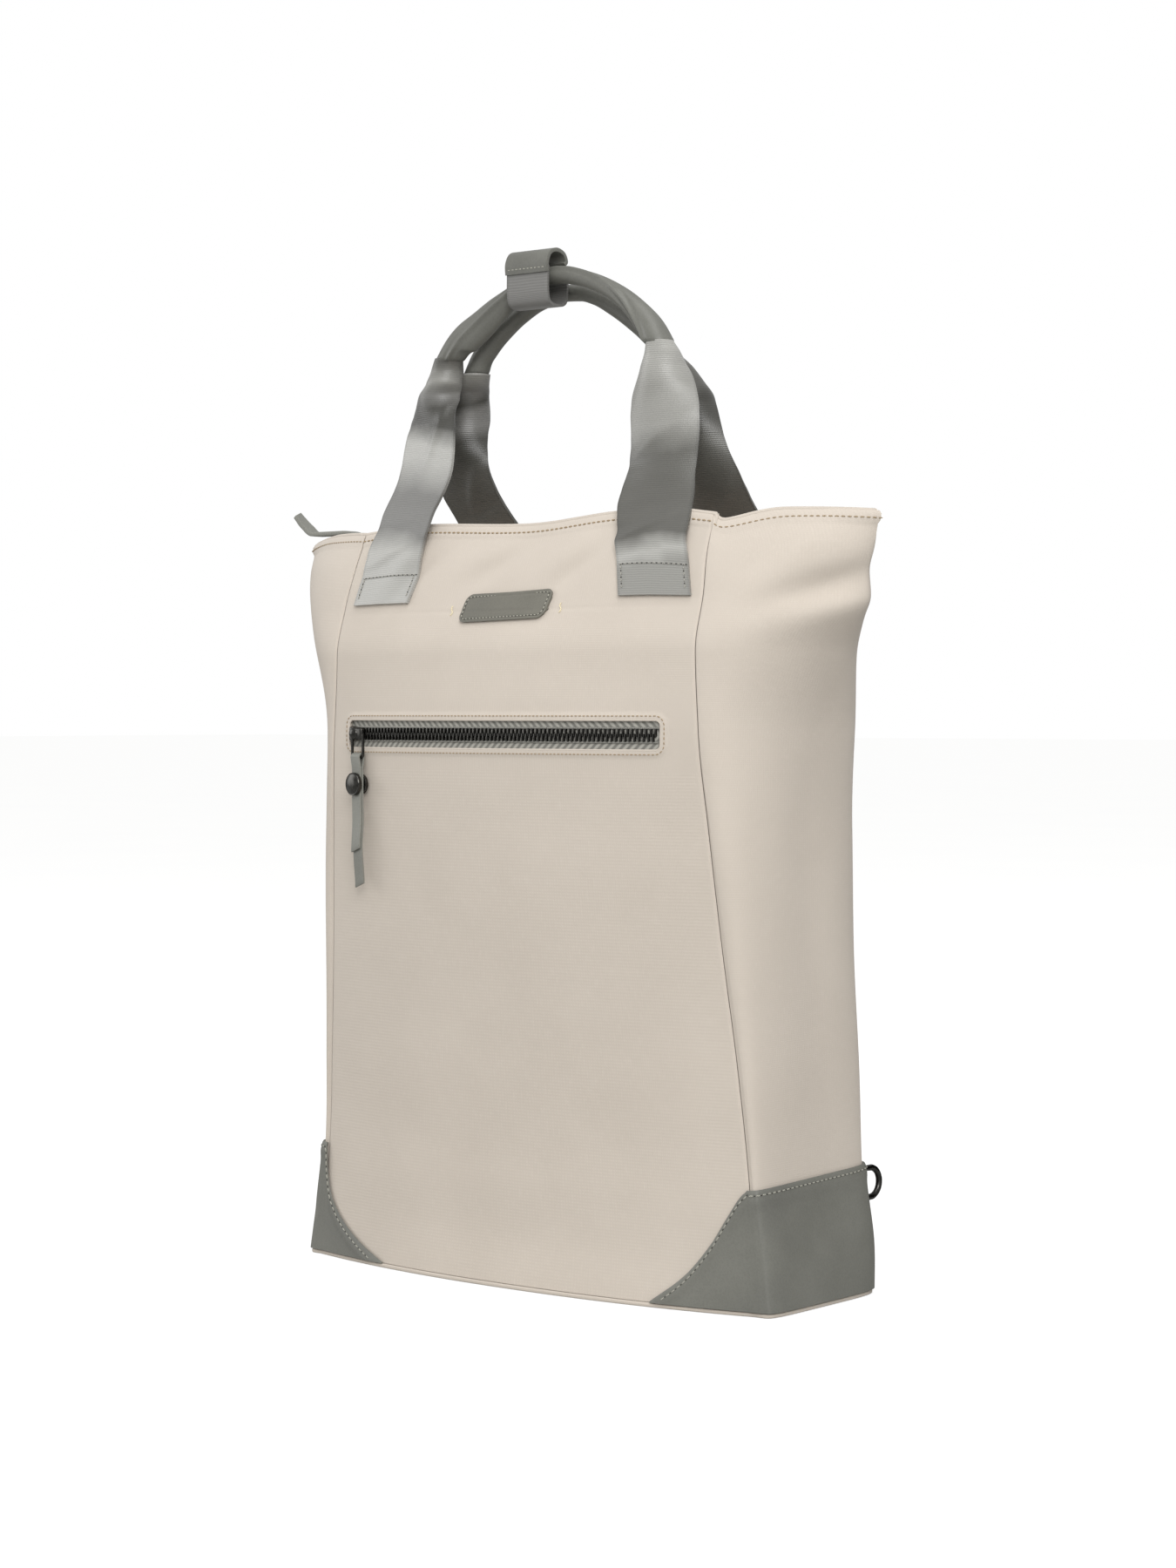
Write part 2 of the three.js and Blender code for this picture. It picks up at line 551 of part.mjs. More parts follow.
function pullStrap() {
  const outer = PULL_LOOP + PULL_LAYER;
  const neck = 3 * outer;
  const profile = new THREE.Shape();
  profile.absarc(0, 0, outer, -Math.PI / 8, Math.PI + Math.PI / 8);
  profile.lineTo(-PULL_LAYER, -neck);
  profile.lineTo(-PULL_LAYER, -PULL_LENGTH);
  profile.lineTo(0, -PULL_LENGTH - PULL_LAYER);
  profile.lineTo(0, -PULL_SHORT_LAYER - PULL_LAYER);
  profile.lineTo(PULL_LAYER, -PULL_SHORT_LAYER);
  profile.lineTo(PULL_LAYER, -neck);
  profile.closePath();
  const eye = new THREE.Path();
  eye.absarc(0, 0, PULL_LOOP, 0, 2 * Math.PI);
  profile.holes.push(eye);
  const strip = new THREE.ExtrudeGeometry(profile, { depth: PULL_WIDTH, bevelEnabled: false,
    curveSegments: 8 });
  strip.translate(0, 0, -PULL_WIDTH / 2);
  strip.applyMatrix4(new THREE.Matrix4().makeBasis(new THREE.Vector3(0, -1, 0),
    new THREE.Vector3(0, 0, 1), new THREE.Vector3(-1, 0, 0)));
  const bore = new THREE.CylinderGeometry(STUD_PIN / 2 + GAP, STUD_PIN / 2 + GAP, 4 * PULL_LAYER, 16);
  bore.translate(0, 0, -STUD_DROP);
  return toGeometry(toSolid(strip).subtract(toSolid(bore)));
}
add("pocket_pull_strap", pullStrap(), PATCH, pull).position.copy(pullTop);

// Stud: a domed front cap and a flat rear cap on one pin
function pullStud() {
  const front = -PULL_LAYER - GAP;
  const rear = PULL_LAYER + GAP;
  const dome = STUD_CAP_THICKNESS / 3;
  const profile = [[0, front - STUD_CAP_THICKNESS], [STUD_CAP / 4, front - STUD_CAP_THICKNESS],
    [STUD_CAP / 2 - dome, front - STUD_CAP_THICKNESS + dome / 3], [STUD_CAP / 2, front - 1.5 * dome],
    [STUD_CAP / 2, front], [STUD_PIN / 2, front], [STUD_PIN / 2, rear], [STUD_REAR_CAP / 2, rear],
    [STUD_REAR_CAP / 2, rear + STUD_REAR_THICKNESS], [0, rear + STUD_REAR_THICKNESS]];
  return new THREE.LatheGeometry(profile.map(([r, y]) => new THREE.Vector2(r, y)), 20);
}
const stud = add("pocket_pull_stud", pullStud(), GUNMETAL, pull);
stud.position.copy(pullTop);
stud.position.z -= STUD_DROP;

// Top closure: two facings slope from the walls down to the zip tape
const CLOSURE_TOP = BODY_HEIGHT - CLOSURE_DROP;
const TAPE_LEVEL = CLOSURE_TOP - CLOSURE_SLOPE;

// The y of the inner face of a wall at x, on the front (-1) or the back (1)
function innerWall(x, z, face) {
  const s = sectionAt(z);
  const inset = WALL + GAP;
  const span = Math.abs(x);
  if (span <= s.seam) return (face < 0 ? frontPoint(x, z, -inset) : backPoint(x, z, -inset)).y;
  const power = face < 0 ? s.frontRound : s.backRound;
  const reach = s.tip - tipOffset(s, inset) - s.seam;
  const v = (1 - ((span - s.seam) / reach) ** power) ** (1 / power);
  return s.tipShift + face * v * ((face < 0 ? s.front : s.back) - inset + -face * s.tipShift);
}

const closureMiddle = (x) => {
  const wall = (face) => innerWall(0, CLOSURE_TOP, face);
  return mix((wall(-1) + wall(1)) / 2, sectionAt(CLOSURE_TOP).tipShift,
    (Math.abs(x) / (CLOSURE_LENGTH / 2)) ** 2);
};

function facing(face) {
  const place = (u, v, out) => {
    const x = mix(-0.5, 0.5, u) * CLOSURE_LENGTH;
    const edge = closureMiddle(x) + face * (TOP_TAPE_WIDTH / 2 + GAP);
    const wall = innerWall(x, CLOSURE_TOP, face) - face * FACING_MARGIN;
    return new THREE.Vector3(x, mix(wall, edge, v), mix(CLOSURE_TOP, TAPE_LEVEL, v) + out);
  };
  return sheet(place, 16, 2, -FACING_THICKNESS, 0);
}
add("top_facing_front", facing(-1), CLOTH);
add("top_facing_back", facing(1), CLOTH);

function topStrip(width, length, inner, outer) {
  const place = (u, v, out) => {
    const x = mix(-0.5, 0.5, u) * length;
    return new THREE.Vector3(x, closureMiddle(x) + (v - 0.5) * width, TAPE_LEVEL + out);
  };
  return sheet(place, 16, 1, inner, outer);
}
add("top_zip_tape", topStrip(TOP_TAPE_WIDTH, CLOSURE_LENGTH, -TAPE_THICKNESS, 0), TAPE);
add("top_zip_teeth", topStrip(TEETH_WIDTH, CLOSURE_LENGTH, GAP, GAP + TEETH_THICKNESS), GUNMETAL);

// Slider of the top zip, parked at its left end, and the strip that hangs out over the rim
const TOP_SLIDER_X = -CLOSURE_LENGTH / 2 + SLIDER_LENGTH;
function topSlider() {
  const outline = roundedRectangle(SLIDER_LENGTH, SLIDER_WIDTH, SLIDER_WIDTH / 4);
  return new THREE.ExtrudeGeometry(outline, { depth: SLIDER_THICKNESS, bevelEnabled: false,
    curveSegments: 3 });
}
const topSliderFoot = TAPE_LEVEL + TEETH_THICKNESS + 2 * GAP;
add("top_zip_slider", topSlider(), GUNMETAL).position.set(TOP_SLIDER_X, closureMiddle(TOP_SLIDER_X),
  topSliderFoot);

function topPull() {
  const rim = sectionAt(BODY_HEIGHT);
  const across = new THREE.Vector3(0, TOP_PULL_WIDTH / 2, 0);
  const foot = topSliderFoot + SLIDER_THICKNESS + GAP + TOP_PULL_THICKNESS / 2;
  const over = BODY_HEIGHT + GAP + TOP_PULL_THICKNESS / 2;
  const rows = [[TOP_SLIDER_X + SLIDER_LENGTH / 2, foot], [TOP_SLIDER_X - SLIDER_LENGTH / 2, foot],
    [mix(TOP_SLIDER_X, -rim.tip, 0.6), over], [-rim.tip, over],
    [-rim.tip - 0.9 * TOP_PULL_WIDTH, over + 0.5 * TOP_PULL_WIDTH],
    [-rim.tip - 1.8 * TOP_PULL_WIDTH, over + 1.3 * TOP_PULL_WIDTH]];
  return ribbon(rows.map(([x, z]) => ({
    middle: new THREE.Vector3(x, mix(closureMiddle(TOP_SLIDER_X), 0, 0.5), z), across,
  })), TOP_PULL_THICKNESS);
}
add("top_pull_strap", topPull(), PATCH);

// Label: a bare slanted plate with rounded corners
function label() {
  const round = LABEL_HEIGHT / 4;
  const tilt = THREE.MathUtils.degToRad(LABEL_TILT);
  const ends = [0, 0.02, 0.065, 0.2, 0.4, 0.6, 0.8, 0.935, 0.98, 1];
  const place = (u, v, out) => {
    const end = ends[Math.round(u * (ends.length - 1))];
    const near = Math.max(round - Math.min(end, 1 - end) * LABEL_LENGTH, 0);
    const half = LABEL_HEIGHT / 2 - round + Math.sqrt(round * round - near * near);
    const up = (2 * v - 1) * half;
    const along = (end - 0.5) * LABEL_LENGTH + (up / LABEL_HEIGHT) * LABEL_SLANT;
    const x = LABEL_SHIFT + along * Math.cos(tilt) - up * Math.sin(tilt);
    const z = BODY_HEIGHT - LABEL_DROP + along * Math.sin(tilt) + up * Math.cos(tilt);
    return frontPoint(x, z, out);
  };
  return sheet(place, ends.length - 1, 2, 2 * GAP, 2 * GAP + LABEL_THICKNESS);
}
add("label", label(), PATCH);

// A table with the distance run from its first row set before each row
function withRun(table, at) {
  let run = 0;
  return table.map((row, i) => {
    if (i > 0) run += at(row).distanceTo(at(table[i - 1]));
    return [run, ...row];
  });
}

const gripTable = (name) => withRun(GRIPS[name], ([x, rise]) => new THREE.Vector3(x, 0, rise));

function gripAt(name, table, run) {
  const [x, rise, tall, thick] = GRIP_COLUMNS.slice(1).map((_, i) => smooth(table, i + 1, run));
  return { middle: new THREE.Vector3(x, GRIP_Y[name], BODY_HEIGHT + rise), tall, thick };
}

// A padded grip: a tube whose ends are cut level
function grip(name) {
  const table = gripTable(name);
  const total = table[table.length - 1][0];
  const rings = Array.from({ length: GRIP_STEPS + 1 }, (_, i) => {
    const run = (i / GRIP_STEPS) * total;
    const { middle, tall, thick } = gripAt(name, table, run);
    const before = gripAt(name, table, Math.max(run - GRIP_LOOK, 0)).middle;
    const tangent = gripAt(name, table, Math.min(run + GRIP_LOOK, total)).middle.sub(before).normalize();
    const up = new THREE.Vector3(-tangent.z, 0, tangent.x);
    const outward = new THREE.Vector3(Math.sign(run - total / 2), 0, 0);
    up.lerp(outward, THREE.MathUtils.smoothstep(Math.abs((2 * run) / total - 1), 0.74, 1)).normalize();
    return Array.from({ length: GRIP_SIDES }, (__, j) => {
      const angle = (2 * Math.PI * j) / GRIP_SIDES;
      return middle.clone().addScaledVector(up, (Math.sin(angle) * tall) / 2)
        .add(new THREE.Vector3(0, (Math.cos(angle) * thick) / 2, 0));
    });
  });
  return closedTube(rings);
}
add("grip_front", grip("front"), GRIP);
add("grip_back", grip("back"), GRIP);

// One length of webbing, from its sewn foot over the rim to the end of its grip
function webbing(name, face) {
  const surface = face < 0 ? frontPoint : backPoint;
  const foot = BODY_HEIGHT - FOOT_LENGTH;
  const table = withRun(STRAPS[name], ([x, y, rise]) => new THREE.Vector3(x, y, rise));
  const start = FOOT_LENGTH + STRAPS[name][0][2];
  table.forEach((row) => { row[0] += start; });
  const runs = [...STRAP_STATIONS, ...table.map(([run]) => run)];
  const place = (u, v, out) => {
    const run = runs[Math.round(v * (runs.length - 1))];
    const across = (0.5 - u) * face;
    const [x, y, rise, turnBy, foldBy] = STRAP_COLUMNS.slice(1).map((_, i) => smooth(table, i + 1, run));
    const footX = mix(FOOT_X[name], table[0][1], Math.min(run / start, 1)) + across * WEBBING_WIDTH;
    const bulge = FOOT_BULGE * THREE.MathUtils.smoothstep(run, ...BULGE_SPAN);
    const sewn = surface(footX, foot + run, 1.5 * GAP + WEBBING_THICKNESS + bulge + out);
    const fold = THREE.MathUtils.degToRad(foldBy);
    const turn = THREE.MathUtils.degToRad(turnBy);
    const radius = WEBBING_WIDTH / fold;
    const sideways = (radius - out * face) * Math.sin(fold * across);
    const behind = radius - (radius - out * face) * Math.cos(fold * across);
    const free = new THREE.Vector3(x + sideways * Math.cos(turn) - behind * Math.sin(turn),
      y + sideways * Math.sin(turn) + behind * Math.cos(turn), BODY_HEIGHT + rise);
    return sewn.lerp(free, THREE.MathUtils.smoothstep(run - start, ...LIFT_SPAN));
  };
  return sheet(place, STRAP_WIDTH_STEPS, runs.length - 1, -WEBBING_THICKNESS, 0);
}
for (const side of ["right", "left"]) {
  add(`webbing_front_${side}`, webbing(`front_${side}`, -1), WEBBING);
  add(`webbing_back_${side}`, webbing(`back_${side}`, 1), WEBBING);
}

// Cuff on the front grip: a webbing band round it, and a flap on the band that curls over the top
const frontGrip = gripTable("front");
const frontGripLength = frontGrip[frontGrip.length - 1][0];
const cuffSpan = Array.from({ length: CUFF_SAMPLES + 1 }, (_, i) => (i / CUFF_SAMPLES) * frontGripLength)
  .map((run) => gripAt("front", frontGrip, run))
  .filter(({ middle }) => Math.abs(middle.x - CUFF_SHIFT) <= CUFF_WIDTH / 2);
const cuffTop = Math.max(...cuffSpan.map(({ middle, tall }) => middle.z + tall / 2));
const cuffFoot = Math.min(...cuffSpan.map(({ middle, tall }) => middle.z - tall / 2));
const CUFF_REACH = GRIP_THICKNESS / 2 + CUFF_THICKNESS / 2 + CUFF_SLACK;
const CUFF_FRONT = GRIP_Y.front - CUFF_REACH;
const CUFF_BACK = GRIP_Y.front + CUFF_REACH;
const CUFF_LOW = cuffFoot - CUFF_THICKNESS - CUFF_SLACK;
function cuffBand(points, thickness) {
  const across = new THREE.Vector3(CUFF_WIDTH / 2, 0, 0);
  const curve = new THREE.CatmullRomCurve3(points.map(([y, z]) => new THREE.Vector3(CUFF_SHIFT, y, z)),
    false, "centripetal");
  return ribbon(curve.getPoints(CUFF_STEPS).map((middle) => ({ middle, across })), thickness);
}
add("cuff_webbing", cuffBand([[CUFF_BACK, cuffTop], [CUFF_BACK, mix(CUFF_LOW, cuffTop, 0.2)],
  [mix(CUFF_FRONT, CUFF_BACK, 0.8), CUFF_LOW], [mix(CUFF_FRONT, CUFF_BACK, 0.2), CUFF_LOW],
  [CUFF_FRONT, mix(CUFF_LOW, cuffTop, 0.2)], [CUFF_FRONT, cuffTop]], CUFF_THICKNESS), WEBBING);
const FLAP_FRONT = CUFF_FRONT - (CUFF_THICKNESS + FLAP_THICKNESS) / 2 - 2 * GAP;
const FLAP_BACK = CUFF_BACK + FLAP_OVERHANG;
add("cuff_flap", cuffBand([[FLAP_FRONT, cuffTop - FLAP_RISE / 3], [FLAP_FRONT, cuffTop + FLAP_RISE / 3],
  [mix(FLAP_FRONT, FLAP_BACK, 0.2), cuffTop + 0.87 * FLAP_RISE],
  [mix(FLAP_FRONT, FLAP_BACK, 0.55), cuffTop + FLAP_RISE],
  [mix(FLAP_FRONT, FLAP_BACK, 0.9), cuffTop + 0.8 * FLAP_RISE],
  [FLAP_BACK, cuffTop + 0.35 * FLAP_RISE]], FLAP_THICKNESS), PATCH);

// Ring and tab at a lower back corner. The ring's straight bar stands upright in the tab's sleeve.
const SLEEVE = RING_WIRE / 2 + RING_SLACK;
function ring() {
  const half = (RING_TALL + RING_WIRE) / 2;
  const bend = new THREE.CurvePath();
  const legs = RING_DEEP - half + RING_WIRE / 2;
  const top = new THREE.Vector3(0, 0, half);
  const topEnd = new THREE.Vector3(0, legs, half);
  const lowEnd = new THREE.Vector3(0, legs, -half);
  const pull = (4 / 3) * half;
  bend.add(new THREE.LineCurve3(top, topEnd));
  bend.add(new THREE.CubicBezierCurve3(topEnd, new THREE.Vector3(0, legs + pull, half),
    new THREE.Vector3(0, legs + pull, -half), lowEnd));
  bend.add(new THREE.LineCurve3(lowEnd, new THREE.Vector3(0, 0, -half)));
  const section = new THREE.Shape();
  section.absarc(0, 0, RING_WIRE / 2, 0, 2 * Math.PI);
  const arc = new THREE.ExtrudeGeometry(section, { steps: 24, extrudePath: bend, curveSegments: 4 });
  const bar = new THREE.CylinderGeometry(RING_WIRE / 2, RING_WIRE / 2, 2 * half + RING_WIRE, 12);
  bar.rotateX(Math.PI / 2);
  return toGeometry(toSolid(arc).add(toSolid(bar)));
}

function ringTab() {
  const outer = SLEEVE + TAB_THICKNESS;
  const profile = new THREE.Shape();
  profile.moveTo(0, -outer);
  profile.absarc(0, 0, outer, -Math.PI / 2, Math.PI * 0.75);
  profile.lineTo(-TAB_LENGTH / 3, -outer + 2 * TAB_THICKNESS);
  profile.lineTo(-TAB_LENGTH, -outer + 2 * TAB_THICKNESS);
  profile.lineTo(-TAB_LENGTH, -outer);
  profile.closePath();
  const eye = new THREE.Path();
  eye.absarc(0, 0, SLEEVE, 0, 2 * Math.PI);
  profile.holes.push(eye);
  const depth = RING_TALL - 2 * RING_SLACK;
  const tab = new THREE.ExtrudeGeometry(profile, { depth, bevelEnabled: false, curveSegments: 10 });
  return tab.translate(0, 0, -depth / 2);
}

for (const [name, side] of [["right", 1], ["left", -1]]) {
  const seam = sectionAt(RING_HEIGHT).seam;
  const step = 1;
  const x = side * (seam - RING_INSET);
  const slope = (backPoint(x, RING_HEIGHT).y - backPoint(x - side * step, RING_HEIGHT).y) / step;
  const seat = backPoint(x, RING_HEIGHT, 2 * GAP + SLEEVE + TAB_THICKNESS);
  const corner = new THREE.Group();
  corner.position.copy(seat);
  corner.rotation.z = side * Math.atan(slope);
  bag.add(corner);
  const tab = ringTab();
  if (side < 0) tab.rotateY(Math.PI);
  add(`ring_tab_${name}`, tab, WEBBING, corner);
  add(`d_ring_${name}`, ring(), GUNMETAL, corner);
}

export default bag;
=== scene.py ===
import functools
import math

import bpy
from mathutils import Matrix, Vector


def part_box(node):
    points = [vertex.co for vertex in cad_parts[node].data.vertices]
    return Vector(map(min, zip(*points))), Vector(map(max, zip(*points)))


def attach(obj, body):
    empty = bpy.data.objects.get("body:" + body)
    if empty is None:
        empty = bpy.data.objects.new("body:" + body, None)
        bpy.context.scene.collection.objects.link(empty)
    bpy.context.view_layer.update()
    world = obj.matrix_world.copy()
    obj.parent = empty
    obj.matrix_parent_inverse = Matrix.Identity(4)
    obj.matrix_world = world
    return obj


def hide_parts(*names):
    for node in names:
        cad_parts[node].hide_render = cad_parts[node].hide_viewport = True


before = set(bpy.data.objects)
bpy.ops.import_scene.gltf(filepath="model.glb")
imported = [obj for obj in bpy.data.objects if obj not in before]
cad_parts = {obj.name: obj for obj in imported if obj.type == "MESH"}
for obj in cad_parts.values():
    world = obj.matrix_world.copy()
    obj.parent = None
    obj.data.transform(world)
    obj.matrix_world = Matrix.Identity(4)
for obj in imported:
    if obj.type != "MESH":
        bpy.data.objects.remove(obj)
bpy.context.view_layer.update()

# FRONT PANEL
# Padded walls of matt sand polyester in plain weave, sewn at two front seams. The rim is turned in
# and topstitched, and a window with a turned edge is cut for the pocket zip. All walls are laid on
# one shape, from the same table of sections as the solids.
BODY_HEIGHT, HALF_WIDTH, BODY_DEPTH = 0.400, 0.161, 0.096
WALL, GAP, BOW_POWER = 0.0022, 0.0003, 2.2
WALL_FOOT = 0.0025
SECTION_COLUMNS = ("height", "seam", "tip", "front", "bow", "back", "back_bow", "tip_shift",
                   "front_round", "back_round")
SECTIONS = (
    (0, 0.925, 0.985, 0.5, 0.185, 0.48, 0.03, 0, 6.0, 4.0),
    (0.075, 0.913, 0.96, 0.49, 0.167, 0.505, 0.04, 0, 5.0, 5.5),
    (0.155, 0.894, 0.932, 0.49, 0.177, 0.5, 0.05, 0, 4.5, 5.0),
    (0.3, 0.863, 0.922, 0.521, 0.177, 0.531, 0.06, 0, 3.8, 3.4),
    (0.45, 0.826, 0.914, 0.573, 0.177, 0.538, 0.06, -0.01, 3.2, 3.1),
    (0.6, 0.795, 0.914, 0.625, 0.167, 0.548, 0.06, -0.02, 2.4, 3.2),
    (0.725, 0.77, 0.942, 0.661, 0.151, 0.530, 0.06, -0.03, 1.8, 3.4),
    (0.825, 0.758, 1.035, 0.661, 0.104, 0.43, 0.05, -0.04, 1.9, 2.3),
    (0.8925, 0.757, 1.15, 0.595, 0.078, 0.35, 0.04, -0.05, 1.75, 1.5),
    (0.95, 0.745, 1.18, 0.531, 0.0625, 0.255, 0.03, -0.0625, 1.6, 1.45),
    (1, 0.739, 1.202, 0.448, 0.042, 0.177, 0.03, -0.0625, 1.2, 1.15),
)
# columns: panel, across, up, turn in degrees, long, wide, deep; a side's across runs round its girth
FOLDS = (
    ("front", -0.066, 0.374, 39, 0.024, 0.0055, -0.0016),
    ("front", -0.074, 0.383, 39, 0.022, 0.0060, 0.0010),
    ("front", -0.012, 0.377, 30, 0.023, 0.0055, -0.0016),
    ("front", -0.018, 0.387, 30, 0.021, 0.0060, 0.0010),
    ("front", 0.040, 0.372, 34, 0.022, 0.0050, -0.0018),
    ("front", 0.033, 0.382, 34, 0.020, 0.0060, 0.0011),
    ("front", 0.000, 0.3530, 0, 0.085, 0.0009, -0.0003),
    ("right", 0.0326, 0.362, 30, 0.0185, 0.0070, -0.0062),
    ("right", 0.0420, 0.351, 30, 0.0150, 0.0060, 0.0016),
    ("right", 0.0192, 0.380, 62, 0.0210, 0.0050, -0.0030),
    ("right", 0.0290, 0.386, 58, 0.0200, 0.0060, 0.0012),
    ("right", 0.0500, 0.200, 92, 0.1100, 0.0100, -0.0012),
    ("left", 0.0432, 0.360, 35, 0.0230, 0.0096, -0.0029),
    ("left", 0.0400, 0.028, 8, 0.0300, 0.0050, -0.0018),
    ("back", -0.050, 0.366, -32, 0.0300, 0.0070, -0.0014),
    ("back", 0.046, 0.370, 28, 0.0300, 0.0070, -0.0014),
)
# columns: place along the rim's stretch, height over the nominal rim
RIM_FRONT = ((-0.119, -0.0030), (-0.075, 0.0), (0.0, -0.0023), (0.058, 0.0020), (0.085, 0.0030),
             (0.119, -0.0005))
RIM_BACK = ((-0.119, -0.0030), (-0.06, -0.0010), (0.02, -0.0030), (0.07, 0.0004), (0.119, -0.0005))
RIM_RIGHT = ((0, -0.0005), (0.08, -0.0038), (0.28, 0.0012), (0.5, 0.0), (0.7, -0.002), (1, -0.0005))
RIM_LEFT = ((0, -0.0030), (0.25, -0.0022), (0.5, -0.0048), (0.75, -0.003), (1, -0.0030))


def smooth(rows, column, place):
    """One column of a table at a place along its first column, without overshoot."""
    at = [row[0] for row in rows]
    value = [row[column] for row in rows]
    last = len(rows) - 1
    place = min(max(place, at[0]), at[last])
    slope = [(value[k + 1] - value[k]) / (at[k + 1] - at[k]) for k in range(last)]

    def tangent(k):
        if k in (0, last):
            return slope[0 if k == 0 else -1]
        product = slope[k - 1] * slope[k]
        return 0.0 if product <= 0 else 2 * product / (slope[k - 1] + slope[k])

    k = 0
    while k < last - 1 and place > at[k + 1]:
        k += 1
    step, rise = at[k + 1] - at[k], value[k + 1] - value[k]
    u = (place - at[k]) / step
    bend = u * (1 - u) * ((tangent(k) * step - rise) * (1 - u) - (tangent(k + 1) * step - rise) * u)
    return value[k] + rise * u + bend


def mix(a, b, share):
    return a + (b - a) * share


def ease(low, high, place):
    """0 below low, 1 above high, and smooth between them."""
    share = min(max((place - low) / (high - low), 0), 1)
    return share * share * (3 - 2 * share)


@functools.lru_cache(maxsize=None)
def section_at(z):
    share = {name: smooth(SECTIONS, i, z / BODY_HEIGHT) for i, name in enumerate(SECTION_COLUMNS)}
    scale = {"seam": HALF_WIDTH, "tip": HALF_WIDTH, "front_round": 1, "back_round": 1}
    return {name: value * scale.get(name, BODY_DEPTH) for name, value in share.items()}


def dent(x, z, turn, length, width, deep):
    """How deep a rounded fold about the origin is at x and z."""
    c, s = math.cos(math.radians(turn)), math.sin(math.radians(turn))
    return deep * math.exp(-((x * c + z * s) / length) ** 2 - ((z * c - x * s) / width) ** 2)


def fold_depth(panel, across, up):
    depth = 0.0
    for name, x, z, turn, length, width, deep in FOLDS:
        if name == panel:
            depth += dent(across - x, up - z, turn, length, width, deep)
    return depth


def rim_lift(table, place, z):
    return smooth(table, 1, place) * ease(0.34, BODY_HEIGHT, z)


def front_point(x, z, out=0.0):
    """A point of the front, out metres in front of the panel's face."""
    s = section_at(z)
    share = min(abs(x) / s["seam"], 1)
    out += fold_depth("front", x, z)
    y = -(s["front"] + s["bow"] * (1 - share ** BOW_POWER)) - out
    return Vector((x, y, z + rim_lift(RIM_FRONT, x, z)))


def back_point(x, z, out=0.0):
    s = section_at(z)
    share = min(abs(x) / s["seam"], 1)
    out += fold_depth("back", x, z)
    return Vector((x, s["back"] + s["back_bow"] * (1 - share ** 2) + out,
                   z + rim_lift(RIM_BACK, x, z)))


def plain_side_point(side, way, z, out, trim):
    s = section_at(z)
    half_angle = math.atan2((s["front"] + s["back"]) / 2, s["tip"] - s["seam"])
    v = -math.cos(math.pi * way)
    power = s["front_round"] if v < 0 else s["back_round"]
    start = s["seam"] + trim
    reach = s["tip"] + out / math.sin(half_angle) - start
    x = start + reach * (1 - abs(v) ** power) ** (1 / power)
    depth = s["front"] + out + s["tip_shift"] if v < 0 else s["back"] + out - s["tip_shift"]
    return Vector((side * x, s["tip_shift"] + v * depth, z))


def side_point(side, way, z, out=0.0, trim=0.0):
    """A point round a side, from the front seam at way 0 to the back seam at way 1."""
    point = plain_side_point(side, way, z, out, trim)
    after = plain_side_point(side, min(way + 0.01, 1), z, 0, trim)
    before = plain_side_point(side, max(way - 0.01, 0), z, 0, trim)
    along = (after - before).normalized()
    normal = Vector((side * along.y, -side * along.x, 0))
    name, rim = ("right", RIM_RIGHT) if side > 0 else ("left", RIM_LEFT)
    fold = fold_depth(name, way * BODY_DEPTH, z) * math.sin(math.pi * way)
    return point + normal * fold + Vector((0, 0, rim_lift(rim, way, z)))


def choose(*pieces):
    """Selects these pieces only, the first as the active one."""
    bpy.ops.object.select_all(action="DESELECT")
    for piece in pieces:
        piece.select_set(True)
    if pieces:
        bpy.context.view_layer.objects.active = pieces[0]


def added(piece):
    """Puts a new piece in the scene."""
    bpy.context.scene.collection.objects.link(piece)
    return piece


def grid(name, columns, rows, place, size):
    """A sheet of columns by rows faces laid by place(u, v), its UV map in metres."""
    choose()
    bpy.ops.mesh.primitive_grid_add(x_subdivisions=columns, y_subdivisions=rows, size=1)
    piece = bpy.context.object
    piece.name = piece.data.name = name
    for vertex in piece.data.vertices:
        vertex.co = place(vertex.co.x + 0.5, vertex.co.y + 0.5)
    for loop in piece.data.uv_layers.active.data:
        loop.uv = (loop.uv[0] * size[0], loop.uv[1] * size[1])
    return piece


def modify(piece, kind, **settings):
    """Adds one modifier and applies it."""
    choose(piece)
    modifier = piece.modifiers.new(kind.lower(), kind)
    for name, value in settings.items():
        setattr(modifier, name, value)
    bpy.ops.object.modifier_apply(modifier=modifier.name)
    return piece


def settle(piece, look, slot, *nodes, body="bag", angle=40):
    """Gives a piece its material, smooth faces, body and the solids that it stands for; its slot is not
    used.
    """
    choose(piece)
    bpy.ops.object.shade_smooth_by_angle(angle=math.radians(angle))
    piece.data.materials.clear()
    piece.data.materials.append(look)
    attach(piece, body)
    if nodes:
        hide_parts(*nodes)
    return piece


def sheet(name, faces, place, size, thickness, look, slot, node_name, offset=-1, edge=0):
    """A sheet of that thickness with rounded edges, which stands for one solid."""
    piece = grid(name, *faces, place, size)
    modify(piece, "SOLIDIFY", thickness=thickness, offset=offset)
    if edge:
        modify(piece, "BEVEL", width=edge, segments=2, limit_method="ANGLE", angle_limit=math.radians(60))
    return settle(piece, look, slot, node_name)


def colour(code):
    """sRGB hex to the linear colour that a socket takes."""
    parts = [int(code[i:i + 2], 16) / 255 for i in (0, 2, 4)]
    return [p / 12.92 if p <= 0.04045 else ((p + 0.055) / 1.055) ** 2.4 for p in parts] + [1]


def fill(tree, made, inputs):
    """Sets each input of a node to a value, or links it to another node's output."""
    for socket, value in inputs.items():
        if isinstance(value, bpy.types.NodeSocket):
            tree.links.new(value, made.inputs[socket])
        else:
            made.inputs[socket].default_value = value


